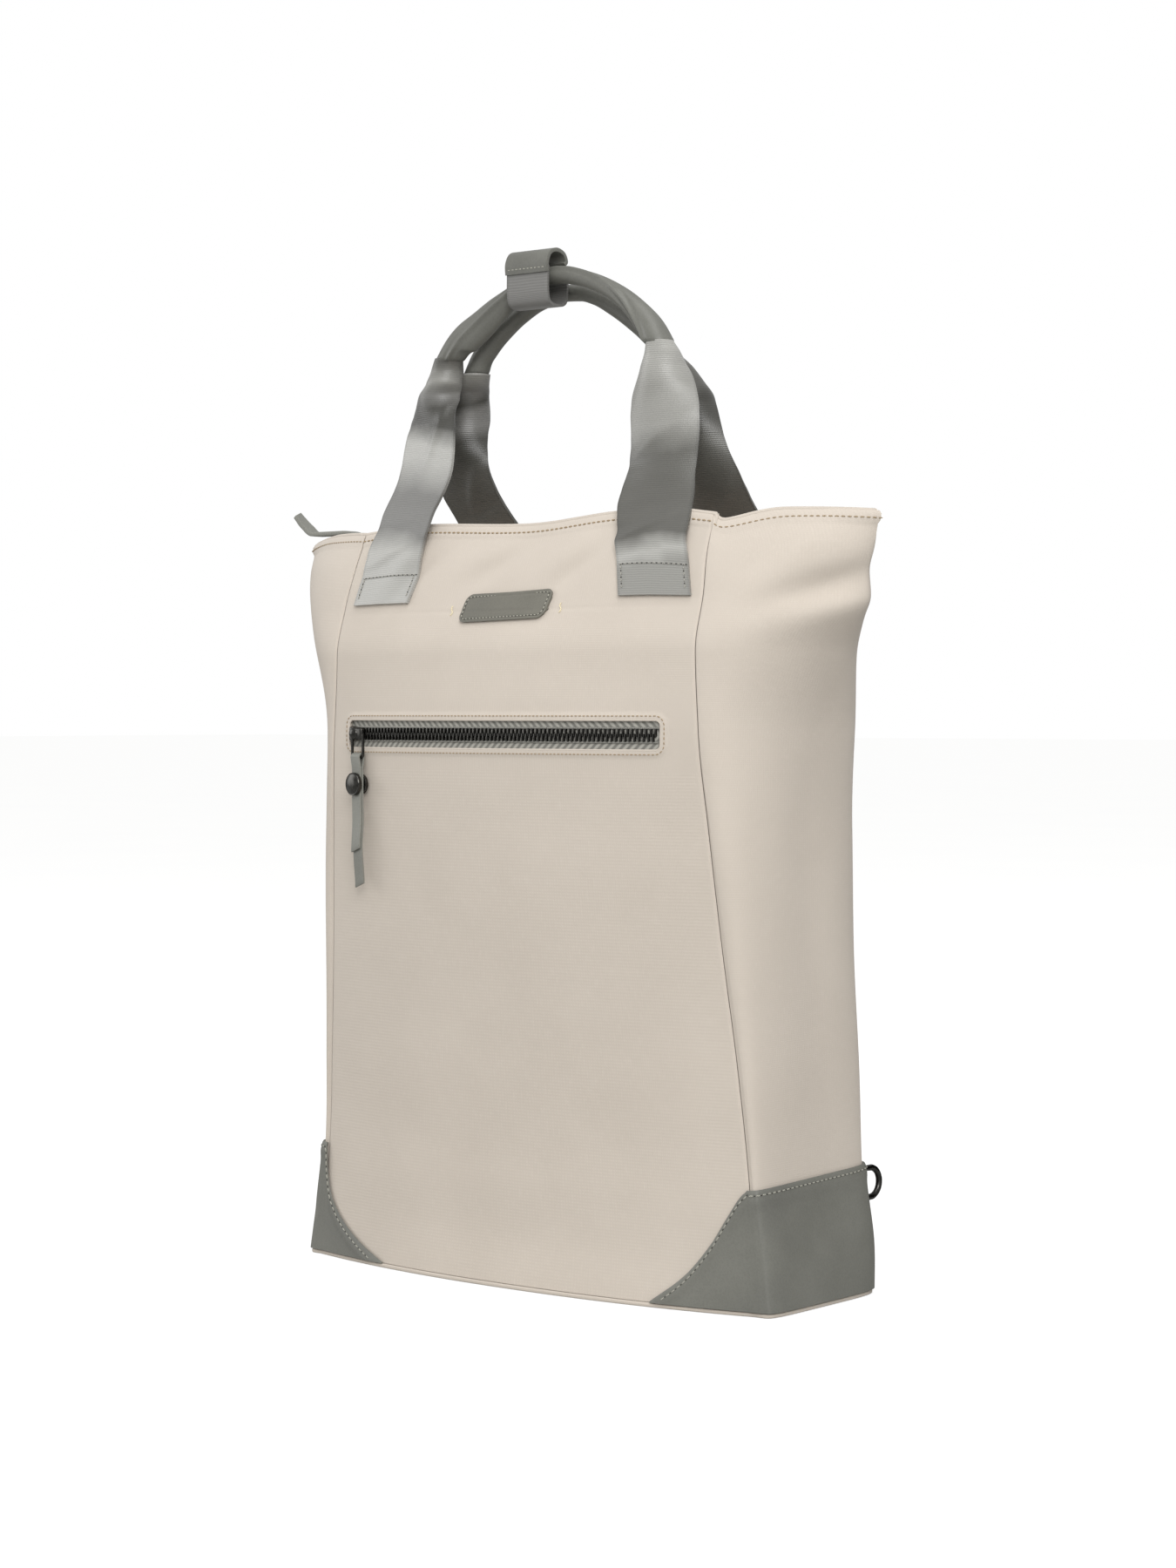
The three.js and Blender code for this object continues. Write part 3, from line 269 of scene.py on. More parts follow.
def node(tree, kind, inputs=None, **settings):
    """Adds a node with its settings, and sets or links its inputs."""
    made = tree.nodes.new("ShaderNode" + kind)
    for name, value in settings.items():
        setattr(made, name, value)
    fill(tree, made, inputs or {})
    return made


def material(name):
    """A new material's tree, with its shader and output only."""
    made = bpy.data.materials.new(name)
    made.use_nodes = True
    tree = made.node_tree
    return made, tree, tree.nodes["Principled BSDF"]


def ramp(tree, factor, *stops):
    """A colour ramp from (place, hex) stops."""
    made = node(tree, "ValToRGB", {"Fac": factor})
    elements = made.color_ramp.elements
    while len(elements) < len(stops):
        elements.new(0.5)
    for element, (place, code) in zip(elements, stops):
        element.position = place
        element.color = colour(code)
    return made.outputs["Color"]


def waves(tree, vector, period, direction):
    """Bands of that period in metres."""
    return node(tree, "TexWave", {"Vector": vector, "Scale": math.pi / 10 / period},
                wave_type="BANDS", bands_direction=direction).outputs["Fac"]


# Short forms of the nodes that most materials use
def noise(tree, where, scale, detail=2.0, rough=0.5):
    return node(tree, "TexNoise", {"Vector": where, "Scale": scale, "Detail": detail,
                                   "Roughness": rough}).outputs["Fac"]


def spread(tree, value, low, high, to_low, to_high):
    """Maps the stretch from low to high on another, and holds its ends."""
    return node(tree, "MapRange", {"Value": value, "From Min": low, "From Max": high, "To Min": to_low,
                                   "To Max": to_high}).outputs["Result"]


def sums(tree, kind, *values):
    return node(tree, "Math", dict(enumerate(values)), operation=kind).outputs["Value"]


def relief(tree, height, strength, distance, **over):
    return node(tree, "Bump", {"Height": height, "Strength": strength, "Distance": distance,
                               **over}).outputs["Normal"]


def shaded(tree, paint, shade):
    """A colour multiplied by a grey."""
    return node(tree, "Mix", {"Factor": 1.0, "A": paint, "B": shade}, data_type="RGBA",
                blend_type="MULTIPLY").outputs["Result"]


# Woven polyester, calendered: matt, with a hair of sheen. The real threads are 0.3 mm apart, too fine
# to show, and are drawn 0.9 mm apart. Broad clouds and small flecks keep the sand colour alive.
def woven_polyester(name, dark, base, light, fleck, rough):
    made, tree, shader = material(name)
    where = node(tree, "TexCoord").outputs
    weave = sums(tree, "MULTIPLY", *(waves(tree, where["UV"], 0.0009, way) for way in "XY"))
    cloud = noise(tree, where["Object"], 14.0, 3.0, 0.55)
    broad = ramp(tree, cloud, (0.30, dark), (0.5, base), (0.72, light))
    stretch = node(tree, "Mapping", {"Vector": where["UV"], "Scale": (1.0, 0.22, 1.0)})
    thread = noise(tree, stretch.outputs["Vector"], 1500.0, 1.0)
    spot = spread(tree, thread, 0.52, 0.72, 0.0, 0.16)
    tint = node(tree, "Mix", {"Factor": spot, "A": broad, "B": colour(fleck)}, data_type="RGBA")
    low = relief(tree, noise(tree, where["Object"], 60.0), 0.12, 0.0012)
    fill(tree, shader, {
        "Base Color": shaded(tree, tint.outputs["Result"], spread(tree, weave, 0.0, 1.0, 0.955, 1.0)),
        "Normal": relief(tree, weave, 0.35, 0.00012, Normal=low), "Roughness": rough,
        "Specular IOR Level": 0.35, "Sheen Weight": 0.12, "Sheen Roughness": 0.5})
    return made


sand_cloth = woven_polyester("woven_polyester_sand", "c9bfb3", "ccc2b6", "cfc5b9", "dad1c6", 0.86)

HEM, RIM_SEAM = 0.0062, BODY_HEIGHT - 0.0038
POCKET_LENGTH, POCKET_OPENING, POCKET_SHIFT, POCKET_HEIGHT, WINDOW_ROUND = (
    0.2130, 0.0150, -0.002, 0.2885, 0.003)
# columns: share of the rows, height; rows are close at the window, the tuck and the hem
FRONT_LEVELS = ((0, WALL_FOOT), (0.36, 0.270), (0.58, 0.306), (0.68, 0.345), (0.78, 0.361),
                (1, BODY_HEIGHT))


def crowd(share, pull=0.7):
    """Brings columns together at both ends."""
    return share - pull * math.sin(2 * math.pi * share) / (2 * math.pi)


def level(table, share):
    for (a, low), (b, high) in zip(table, table[1:]):
        if share <= b + 1e-9:
            return mix(low, high, (share - a) / (b - a))
    return table[-1][1]


def cloth_relief(from_seam, z):
    """How far the cloth stands over or under the plain wall at its turned hem and at a seam."""
    hem = 0.0005 * ease(BODY_HEIGHT - HEM - 0.0006, BODY_HEIGHT - HEM + 0.0004, z)
    top = -0.0006 * ease(BODY_HEIGHT - 0.0012, BODY_HEIGHT, z)
    valley = -0.0007 * math.exp(-(from_seam / 0.0008) ** 2)
    return hem + top + valley


def front_place(u, v):
    z = level(FRONT_LEVELS, v)
    seam = section_at(z)["seam"]
    x = mix(-1, 1, crowd(u)) * (seam - GAP / 2)
    beside = max(abs(x - POCKET_SHIFT) - POCKET_LENGTH / 2 + WINDOW_ROUND, 0)
    above = max(abs(z - POCKET_HEIGHT) - POCKET_OPENING / 2 + WINDOW_ROUND, 0)
    lip = 0.0006 * (1 - ease(0.005, 0.0075, math.hypot(beside, above)))
    return front_point(x, z, cloth_relief(seam - abs(x), z) + lip)


front_panel = grid("front_panel_cloth", 150, 200, front_place, (0.236, 0.40))
modify(front_panel, "SOLIDIFY", thickness=WALL, offset=-1)

choose()
bpy.ops.mesh.primitive_cube_add(size=1, location=(POCKET_SHIFT, -0.06, POCKET_HEIGHT))
window = bpy.context.object
window.scale = (POCKET_LENGTH, 0.06, POCKET_OPENING)
bpy.ops.object.transform_apply(location=True, scale=True)
bpy.ops.object.mode_set(mode="EDIT")
bpy.ops.mesh.select_mode(type="EDGE")
bpy.ops.mesh.select_all(action="DESELECT")
bpy.ops.object.mode_set(mode="OBJECT")
for edge in window.data.edges:
    a, b = (window.data.vertices[i].co for i in edge.vertices)
    edge.select = abs(a.y - b.y) > 0.01
bpy.ops.object.mode_set(mode="EDIT")
bpy.ops.mesh.bevel(offset=WINDOW_ROUND, segments=6, affect="EDGES")
bpy.ops.object.mode_set(mode="OBJECT")
modify(front_panel, "BOOLEAN", object=window, operation="DIFFERENCE", solver="EXACT")
bpy.data.objects.remove(window)
settle(front_panel, sand_cloth, "body_cloth", "front_panel")


def tube(name, points, radius, look, slot, *nodes, closed=False, sides=4, body="bag"):
    """A round wire or roll of that radius along the points, made a mesh."""
    choose()
    curve = bpy.data.curves.new(name, "CURVE")
    curve.dimensions = "3D"
    curve.bevel_depth = radius
    curve.bevel_resolution = sides
    curve.use_fill_caps = True
    line = curve.splines.new("POLY")
    line.points.add(len(points) - 1)
    for point, co in zip(line.points, points):
        point.co = (*co, 1)
    line.use_cyclic_u = closed
    choose(added(bpy.data.objects.new(name, curve)))
    bpy.ops.object.convert(target="MESH")
    piece = bpy.context.object
    piece.name = piece.data.name = name
    return settle(piece, look, slot, *nodes, body=body)


def spaced(points, pitch, closed=False):
    """Places and directions at equal steps along a line of points."""
    if closed:
        points = points + [points[0]]
    run = [0.0]
    for a, b in zip(points, points[1:]):
        run.append(run[-1] + (b - a).length)
    count = max(int(run[-1] / pitch), 1)
    places, k = [], 0
    for i in range(count):
        at = (i + 0.5) * run[-1] / count
        while run[k + 1] < at:
            k += 1
        share = (at - run[k]) / (run[k + 1] - run[k])
        places.append((points[k].lerp(points[k + 1], share), (points[k + 1] - points[k]).normalized()))
    return places


def copies(name, model, places):
    """One mesh with a copy of the model at each matrix; the model is then removed."""
    corners = [v.co.copy() for v in model.data.vertices]
    faces = [tuple(f.vertices) for f in model.data.polygons]
    points, polygons = [], []
    for matrix in places:
        start = len(points)
        points += [matrix @ co for co in corners]
        polygons += [tuple(start + i for i in face) for face in faces]
    mesh = bpy.data.meshes.new(name)
    mesh.from_pydata(points, [], polygons)
    piece = added(bpy.data.objects.new(name, mesh))
    bpy.data.objects.remove(model)
    return piece


def stitches(name, line, look, slot, pitch=0.003, length=0.0021, radius=0.00035, closed=False,
             shift=0.0):
    """A row of sewn stitches, each a small rounded bar lying along the line."""
    choose()
    bpy.ops.mesh.primitive_uv_sphere_add(segments=6, ring_count=5, radius=1)
    bar = bpy.context.object
    for vertex in bar.data.vertices:
        vertex.co = (vertex.co.z * length / 2, vertex.co.x * radius, vertex.co.y * radius)
    places = []
    for at, along in spaced(line, pitch, closed):
        turn = Vector((1, 0, 0)).rotation_difference(along).to_matrix().to_4x4()
        places.append(Matrix.Translation(at + along * shift) @ turn)
    return settle(copies(name, bar, places), look, slot)


def sewn_row(name, key, line, look, slot, pitch, length, radius, hole, hole_radius, closed=False):
    """A row of stitches with a painted shadow of a needle hole, a small dark bar, between each two."""
    stitches(f"{name}_stitches{key}", line, look, slot, pitch, length, radius, closed)
    stitches(f"{name}_painted_hole_shadows{key}", line, needle_hole_shade, slot, pitch, hole, hole_radius, closed,
             pitch / 2)


# Polyester sewing thread, twisted and slightly glossy: fine slanted plies and a lighter crown
def sewing_thread(name, dark, light):
    made, tree, shader = material(name)
    ply = waves(tree, node(tree, "TexCoord").outputs["Object"], 0.0006, "DIAGONAL")
    fill(tree, shader, {"Base Color": ramp(tree, ply, (0.2, dark), (0.8, light)),
                        "Normal": relief(tree, ply, 0.3, 0.0001), "Roughness": 0.55})
    return made


sand_thread = sewing_thread("sewing_thread_sand", "8f7b60", "ab9779")

def seam_x(z):
    return section_at(z)["seam"]


rim_line = [front_point(mix(-1, 1, i / 80) * seam_x(RIM_SEAM), RIM_SEAM, 0.0007) for i in range(81)]
stitches("front_rim_stitches", rim_line, sand_thread, "body_cloth", pitch=0.0031, length=0.0022,
         radius=0.00045)


def rounded_rectangle(inner_x, inner_z, radius, steps):
    """The (x, z) points of a rectangle whose corners are rounded about the inner half sizes."""
    line = []
    for cx, cz, start in ((1, 1, 0), (-1, 1, 90), (-1, -1, 180), (1, -1, 270)):
        for i in range(steps + 1):
            turn = math.radians(start + 90 * i / steps)
            line.append((cx * inner_x + radius * math.cos(turn), cz * inner_z + radius * math.sin(turn)))
    return line


def window_line(margin, out, steps=10):
    """A rounded rectangle round the pocket window, margin outside its edge."""
    inner = POCKET_LENGTH / 2 - WINDOW_ROUND, POCKET_OPENING / 2 - WINDOW_ROUND
    line = [(POCKET_SHIFT + x, POCKET_HEIGHT + z)
            for x, z in rounded_rectangle(*inner, WINDOW_ROUND + margin, steps)]
    dense = []
    for (xa, za), (xb, zb) in zip(line, line[1:] + line[:1]):
        parts = max(int(math.hypot(xb - xa, zb - za) / 0.004), 1)
        dense += [front_point(mix(xa, xb, i / parts), mix(za, zb, i / parts), out) for i in range(parts)]
    return dense


stitches("pocket_border_stitches", window_line(0.0022, 0.0007), sand_thread, "body_cloth",
         pitch=0.0024, length=0.0017, radius=0.0003, closed=True)
tube("pocket_window_turned_edge", window_line(0.0001, 0.0001), 0.0006, sand_cloth, "body_cloth",
     closed=True)

# SIDE AND BACK PANELS
# The same cloth. The sides flare into two tips at the rim, and the back is flat where it rests
# against the wearer. The rim's turned edge runs round all four.
def side_place(side):
    def place(u, v):
        z = mix(WALL_FOOT, BODY_HEIGHT, v ** 0.8)
        way = crowd(u if side > 0 else 1 - u, 0.5)
        s = section_at(z)
        girth = 2 * (s["tip"] - s["seam"]) + s["front"]
        return side_point(side, way, z, cloth_relief(min(way, 1 - way) * girth, z), GAP / 2)
    return place


def back_place(u, v):
    z = mix(WALL_FOOT, BODY_HEIGHT, v ** 0.8)
    seam = section_at(z)["seam"]
    x = mix(1, -1, crowd(u)) * (seam - GAP / 2)
    return back_point(x, z, cloth_relief(seam - abs(x), z))


for name, side in (("right", 1), ("left", -1)):
    sheet(f"side_panel_{name}_cloth", (96, 190), side_place(side), (0.13, 0.40), WALL, sand_cloth,
          "body_cloth", f"side_panel_{name}")
sheet("back_panel_cloth", (100, 150), back_place, (0.236, 0.40), WALL, sand_cloth, "body_cloth",
      "back_panel")

RIM_Z = BODY_HEIGHT - 0.0002
rim = [front_point(mix(-1, 1, i / 60) * seam_x(RIM_Z), RIM_Z, -WALL / 2) for i in range(60)]
rim += [side_point(1, i / 60, RIM_Z, -WALL / 2) for i in range(60)]
rim += [back_point(mix(1, -1, i / 60) * seam_x(RIM_Z), RIM_Z, -WALL / 2) for i in range(60)]
rim += [side_point(-1, 1 - i / 60, RIM_Z, -WALL / 2) for i in range(60)]
tube("rim_turned_edge", rim, 0.00135, sand_cloth, "body_cloth", closed=True)
for name, side in (("right", 1), ("left", -1)):
    line = [side_point(side, mix(0.02, 0.98, i / 90), RIM_SEAM, 0.0007) for i in range(91)]
    stitches(f"side_rim_stitches_{name}", line, sand_thread, "body_cloth", pitch=0.0031, length=0.0022)
line = [back_point(mix(-1, 1, i / 80) * seam_x(RIM_SEAM), RIM_SEAM, 0.0007) for i in range(81)]
stitches("back_rim_stitches", line, sand_thread, "body_cloth", pitch=0.0031, length=0.0022)

# BASE
# A flat padded panel of the same cloth, sewn up into the walls. Its bound edge shows as a thin line
# under them.
BASE_LIP, BASE_THICKNESS = 0.0008, 0.0022


def base_outline(out, z=0.0):
    seam = section_at(0.0)["seam"]
    line = [front_point(mix(-seam, seam, i / 60), 0, out) for i in range(60)]
    line += [side_point(1, i / 40, 0, out) for i in range(40)]
    line += [back_point(mix(seam, -seam, i / 60), 0, out) for i in range(60)]
    line += [side_point(-1, 1 - i / 40, 0, out) for i in range(40)]
    return [Vector((p.x, p.y, z)) for p in line]


choose()
bpy.ops.mesh.primitive_circle_add(vertices=200, radius=1, fill_type="NGON")
base = bpy.context.object
base.name = base.data.name = "base_cloth"
for vertex, point in zip(base.data.vertices, base_outline(BASE_LIP)):
    vertex.co = point
bpy.ops.object.mode_set(mode="EDIT")
bpy.ops.mesh.select_all(action="SELECT")
bpy.ops.mesh.extrude_region_move(TRANSFORM_OT_translate={"value": (0, 0, BASE_THICKNESS)})
bpy.ops.mesh.select_all(action="SELECT")
bpy.ops.mesh.normals_make_consistent(inside=False)
bpy.ops.object.mode_set(mode="OBJECT")
modify(base, "BEVEL", width=0.0007, segments=3, limit_method="ANGLE")
settle(base, sand_cloth, "body_cloth", "base_panel")

# CORNER PATCHES
# Grey leatherette, cut in a curve on the front and taken round each side to the back seam. The edge is
# folded under and topstitched with a lighter thread through pricked holes.
PATCH_THICKNESS, PATCH_STAND, PATCH_HEIGHT, PATCH_REACH, PATCH_REAR_RISE = (
    0.0014, 0.0005, 0.0625, 0.057, 0.0045)
# columns: share of the reach in from the seam, share of the height
PATCH_EDGES = {
    1: ((0, 1), (0.09, 0.92), (0.21, 0.77), (0.4, 0.52), (0.67, 0.24), (1, 0.01)),
    -1: ((0, 1), (0.05, 0.7), (0.16, 0.48), (0.38, 0.29), (0.64, 0.15), (1, 0.01)),
}


def patch_top(side, along):
    """Across place and height of a patch's upper edge; along runs from -1 on the front to 1 behind."""
    if along <= 0:
        return WALL_FOOT + smooth(PATCH_EDGES[side], 1, -along) * (PATCH_HEIGHT - WALL_FOOT)
    return PATCH_HEIGHT + along * PATCH_REAR_RISE


def sharp_patch_point(side, along, z, out):
    if along <= 0:
        foot = section_at(WALL_FOOT)["seam"]
        x = (1 + along * PATCH_REACH / foot) * section_at(z)["seam"]
        return front_point(side * x, z, out)
    return side_point(side, along, z, out)


def patch_point(side, along, z, out):
    """The leatherette rounds the seam under it, so its corner is a mean of the points about it."""
    aside = 0.085 * math.exp(-(along / 0.09) ** 2)
    before = sharp_patch_point(side, along - aside, z, out)
    after = sharp_patch_point(side, along + aside / 2, z, out)
    return (before + 2 * sharp_patch_point(side, along, z, out) + after) / 4


def patch_place(side):
    def place(u, v):
        along = mix(-1, 1, u if side > 0 else 1 - u)
        top = patch_top(side, along)
        z = mix(WALL_FOOT, top, 1 - (1 - v) ** 1.6)
        edge = 0.0007 * math.exp(-(top - z) / 0.0009)
        soft = 0.0004 * math.exp(-((top - z - 0.0055) / 0.003) ** 2)
        return patch_point(side, along, z, PATCH_STAND + PATCH_THICKNESS - edge + soft)
    return place


# Leatherette: polyurethane skin embossed with a fine grain, half matt, paler where it is rubbed
def leatherette(name, dark, base, light, rough=0.52, grain=0.0011):
    made, tree, shader = material(name)
    where = node(tree, "TexCoord").outputs["Object"]
    cell = node(tree, "TexVoronoi", {"Vector": where, "Scale": 1 / grain}, feature="F1")
    wrinkle = noise(tree, where, 0.4 / grain, 3.0, 0.6)
    height = node(tree, "Mix", {"Factor": 0.5, "A": cell.outputs["Distance"],
                                "B": wrinkle}).outputs["Result"]
    broad = ramp(tree, noise(tree, where, 22.0, 3.0), (0.3, dark), (0.52, base), (0.74, light))
    fill(tree, shader, {"Base Color": shaded(tree, broad, spread(tree, height, 0.2, 0.6, 0.90, 1.03)),
                        "Roughness": spread(tree, wrinkle, 0.3, 0.7, rough - 0.05, rough + 0.07),
                        "Normal": relief(tree, height, 0.25, 0.0002), "Specular IOR Level": 0.45})
    return made


patch_skin = leatherette("leatherette_grey_patch", "6a6a64", "71716a", "787871")
patch_thread = sewing_thread("sewing_thread_grey", "8d8c82", "aeada2")
# Painted shadow: small dark bars between stitches stand for the shade in the needle holes
needle_hole_shade = sewing_thread("needle_hole_shadow", "35342f", "46453f")

for name, side in (("right", 1), ("left", -1)):
    sheet(f"corner_patch_{name}_leatherette", (150, 34), patch_place(side), (0.19, 0.062),
          PATCH_THICKNESS, patch_skin, "patch_leatherette", f"corner_patch_{name}")
    line = []
    for i in range(141):
        along = mix(-0.93, 0.97, i / 140)
        z = patch_top(side, along) - mix(0.0036, 0.0026, min(along + 1, 1))
        if z > WALL_FOOT + 0.001:
            line.append(patch_point(side, along, z, PATCH_STAND + PATCH_THICKNESS + 0.0002))
    sewn_row("patch", f"_{name}", line, patch_thread, "patch_leatherette", 0.0037, 0.0025, 0.00042,
             0.0011, 0.00034)

# POCKET ZIP
# A grey herringbone tape behind the window carries a chain of separate gunmetal teeth, closed.
TAPE_THICKNESS, TAPE_MARGIN, TEETH_WIDTH, TEETH_THICKNESS, TOOTH_PITCH = (
    0.001, 0.005, 0.0066, 0.0016, 0.0026)
ZIP_BULGE, TOOTH_LONG, TOOTH_WIDE = 0.0011, 0.0041, 0.00125
POCKET_LEFT = POCKET_SHIFT - POCKET_LENGTH / 2
POCKET_RIGHT = POCKET_SHIFT + POCKET_LENGTH / 2


# Zip tape, woven in a herringbone: fine ribs that slant to the chain from both sides, matt
def zip_tape_cloth(name, middle):
    made, tree, shader = material(name)
    parts = node(tree, "SeparateXYZ", {"Vector": node(tree, "TexCoord").outputs["UV"]}).outputs
    mirrored = sums(tree, "ABSOLUTE", sums(tree, "SUBTRACT", parts["Y"], middle))
    folded = node(tree, "CombineXYZ", {"X": parts["X"], "Y": mirrored}).outputs["Vector"]
    rib = waves(tree, folded, 0.0021, "DIAGONAL")
    fill(tree, shader, {"Base Color": ramp(tree, rib, (0.2, "7c7b75"), (0.8, "aeaca4")),
                        "Normal": relief(tree, rib, 0.6, 0.0003), "Roughness": 0.8})
    return made


# Gunmetal: zinc, plated black nickel and polished, so dark with sharp highlights and faint smears
def gunmetal_plate(name, dark, light, rough):
    made, tree, shader = material(name)
    smear = noise(tree, node(tree, "TexCoord").outputs["Object"], 400.0, 3.0)
    fill(tree, shader, {"Base Color": ramp(tree, smear, (0.3, dark), (0.7, light)), "Metallic": 1.0,
                        "Roughness": spread(tree, smear, 0.3, 0.7, rough - 0.05, rough + 0.08)})
    return made


tape_cloth = zip_tape_cloth("zip_tape_herringbone", (POCKET_OPENING + 2 * TAPE_MARGIN) / 2)
gunmetal = gunmetal_plate("gunmetal_plated_zinc", "3a3937", "4a4946", 0.24)


def tape_place(u, v):
    x = mix(POCKET_LEFT - TAPE_MARGIN, POCKET_RIGHT + TAPE_MARGIN, u)
    z = POCKET_HEIGHT + (v - 0.5) * (POCKET_OPENING + 2 * TAPE_MARGIN)
    return front_point(x, z, ZIP_BULGE - WALL - GAP)


sheet("pocket_zip_tape_herringbone", (60, 8), tape_place,
      (POCKET_LENGTH + 2 * TAPE_MARGIN, POCKET_OPENING + 2 * TAPE_MARGIN), TAPE_THICKNESS, tape_cloth,
      "zip_tape", "pocket_zip_tape")


def tooth():
    """One zip tooth: a bar across the chain, thick at the root and rounded at the head."""
    choose()
    bpy.ops.mesh.primitive_cube_add(size=1)
    bar = bpy.context.object
    bar.scale = (TOOTH_WIDE, TEETH_THICKNESS, TOOTH_LONG)
    bpy.ops.object.transform_apply(scale=True)
    for vertex in bar.data.vertices:
        if vertex.co.z < 0:
            vertex.co.x *= 0.72
    modify(bar, "BEVEL", width=0.0004, segments=2, limit_method="NONE")
    return bar


def chain(name, where, left, right, slot, *nodes):
    """Teeth from left to right, alternately from above and below; where(x) gives place and frame."""
    places = []
    for i in range(int((right - left) / TOOTH_PITCH * 2)):
        half = 1 if i % 2 else -1
        frame_at = where(left + (i + 0.5) * TOOTH_PITCH / 2)
        flip = Matrix.Rotation(0 if half > 0 else math.pi, 4, "Y")
        places.append(frame_at @ Matrix.Translation((0, 0, half * (TEETH_WIDTH - TOOTH_LONG) / 2)) @ flip)
    return settle(copies(name, tooth(), places), gunmetal, slot, *nodes)


def pocket_frame(x):
    a, b = front_point(x - 0.001, POCKET_HEIGHT, 0), front_point(x + 0.001, POCKET_HEIGHT, 0)
    turn = math.atan2(b.y - a.y, b.x - a.x)
    at = front_point(x, POCKET_HEIGHT, ZIP_BULGE - WALL + TEETH_THICKNESS / 2)
    return Matrix.Translation(at) @ Matrix.Rotation(turn, 4, "Z")


chain("pocket_zip_chain", pocket_frame, POCKET_LEFT + 0.008, POCKET_RIGHT - 0.0012, "gunmetal",
      "pocket_zip_teeth")
for side in (-1, 1):
    line = [front_point(mix(POCKET_LEFT + 0.001, POCKET_RIGHT - 0.001, i / 60),
                        POCKET_HEIGHT + side * 0.0036, ZIP_BULGE - WALL + 0.0002) for i in range(61)]
    tube(f"pocket_tape_cord_{'upper' if side > 0 else 'lower'}", line, 0.0005, tape_cloth, "zip_tape",
         sides=2)

# POCKET SLIDER AND PULL
# A polished slider with a domed lock and a wire link. A strip of leatherette is folded round the link,
# and a screw post with two caps holds its layers.
SLIDER_LENGTH, SLIDER_WIDTH, SLIDER_THICKNESS = 0.012, 0.009, 0.0034
LINK_WIRE, LINK_DROP, LINK_SHIFT, SLIDER_PARK = 0.0016, 0.008, 0.0035, 0.0025
PULL_WIDTH, PULL_LAYER, PULL_LENGTH, PULL_SHORT_LAYER = 0.0075, 0.0012, 0.069, 0.050
STUD_DROP, STUD_CAP, STUD_CAP_THICKNESS, STUD_REAR_CAP, STUD_REAR_THICKNESS, STUD_PIN = (
    0.0145, 0.0125, 0.003, 0.011, 0.0018, 0.004)
SLIDER_X = POCKET_LEFT + SLIDER_LENGTH / 2 + SLIDER_PARK
SLIDER_BACK = TEETH_THICKNESS - WALL + GAP
LINK_OUT = SLIDER_BACK + SLIDER_THICKNESS + LINK_WIRE / 4
slider_ends = [front_point(SLIDER_X + end * SLIDER_LENGTH / 2, POCKET_HEIGHT, SLIDER_BACK)
               for end in (-1, 1)]
pull_frame = (Matrix.Translation((slider_ends[0] + slider_ends[1]) / 2)
              @ Matrix.Rotation(math.atan2(slider_ends[1].y - slider_ends[0].y,
                                           slider_ends[1].x - slider_ends[0].x), 4, "Z"))
pull_top = Vector((LINK_SHIFT, SLIDER_BACK - LINK_OUT, -SLIDER_WIDTH / 2 - LINK_DROP))


def zip_slider(name, place, *nodes):
    """A slider lying with its back plate at y 0 and its tail to +x."""
    choose()
    bpy.ops.mesh.primitive_cube_add(size=1, location=(0, -SLIDER_THICKNESS / 2, 0))
    body = bpy.context.object
    body.scale = (SLIDER_LENGTH, SLIDER_THICKNESS, SLIDER_WIDTH)
    bpy.ops.object.transform_apply(location=True, scale=True)
    for vertex in body.data.vertices:
        if vertex.co.x > 0:
            vertex.co.z *= 0.72
        if vertex.co.y < -SLIDER_THICKNESS / 2:
            vertex.co.z *= 0.86
            vertex.co.x *= 0.92
    modify(body, "BEVEL", width=0.0011, segments=4, limit_method="NONE")
    bpy.ops.mesh.primitive_uv_sphere_add(segments=32, ring_count=16, radius=0.0036,
                                         location=(-0.0012, -SLIDER_THICKNESS + 0.0006, 0))
    dome = bpy.context.object
    dome.scale = (1, 0.62, 1)
    bpy.ops.object.transform_apply(location=True, scale=True)
    choose(body, dome)
    bpy.ops.object.join()
    body.name = body.data.name = name
    body.data.transform(place)
    return settle(body, gunmetal, "gunmetal", *nodes)


zip_slider("pocket_slider_polished", pull_frame, "pocket_zip_slider")


def rounded(points, radius, steps=8):
    """A line with its inner corners rounded."""
    line = [points[0]]
    for a, b, c in zip(points, points[1:], points[2:]):
        start, end = b + (a - b).normalized() * radius, b + (c - b).normalized() * radius
        for i in range(steps + 1):
            t = i / steps
            line.append(start * (1 - t) ** 2 + b * 2 * t * (1 - t) + end * t ** 2)
    return line + [points[-1]]


half = (PULL_WIDTH + 2 * GAP + LINK_WIRE) / 2
low = -SLIDER_WIDTH / 2 - LINK_DROP
link_line = rounded([Vector((LINK_SHIFT + x, SLIDER_BACK - LINK_OUT, z))
                     for x, z in ((-half, 0), (-half, low), (half, low), (half, 0))], 0.0018)
tube("pocket_slider_link", [pull_frame @ p for p in link_line], LINK_WIRE / 2, gunmetal, "gunmetal")


def on_line(line, share):
    """The pair of values at a share of the way along a list of pairs."""
    at = share * (len(line) - 1)
    k = min(int(at), len(line) - 2)
    return [mix(a, b, at - k) for a, b in zip(line[k], line[k + 1])]


def pull_path(front_length, back_length, radius, steps=14):
    """The strip's middle line in y and z: up in front, round the link and down behind."""
    line = [(-PULL_LAYER / 2 - 0.0001, -mix(front_length, 0.006, i / 20)) for i in range(21)]
    line += [(-radius * math.cos(t * math.pi), radius * math.sin(t * math.pi))
             for t in (i / steps for i in range(steps + 1))]
    line += [(PULL_LAYER / 2 + 0.0001, -mix(0.006, back_length, i / 26)) for i in range(27)]
    return line


pull_line = pull_path(PULL_SHORT_LAYER, PULL_LENGTH, LINK_WIRE / 2 + GAP + PULL_LAYER / 2)


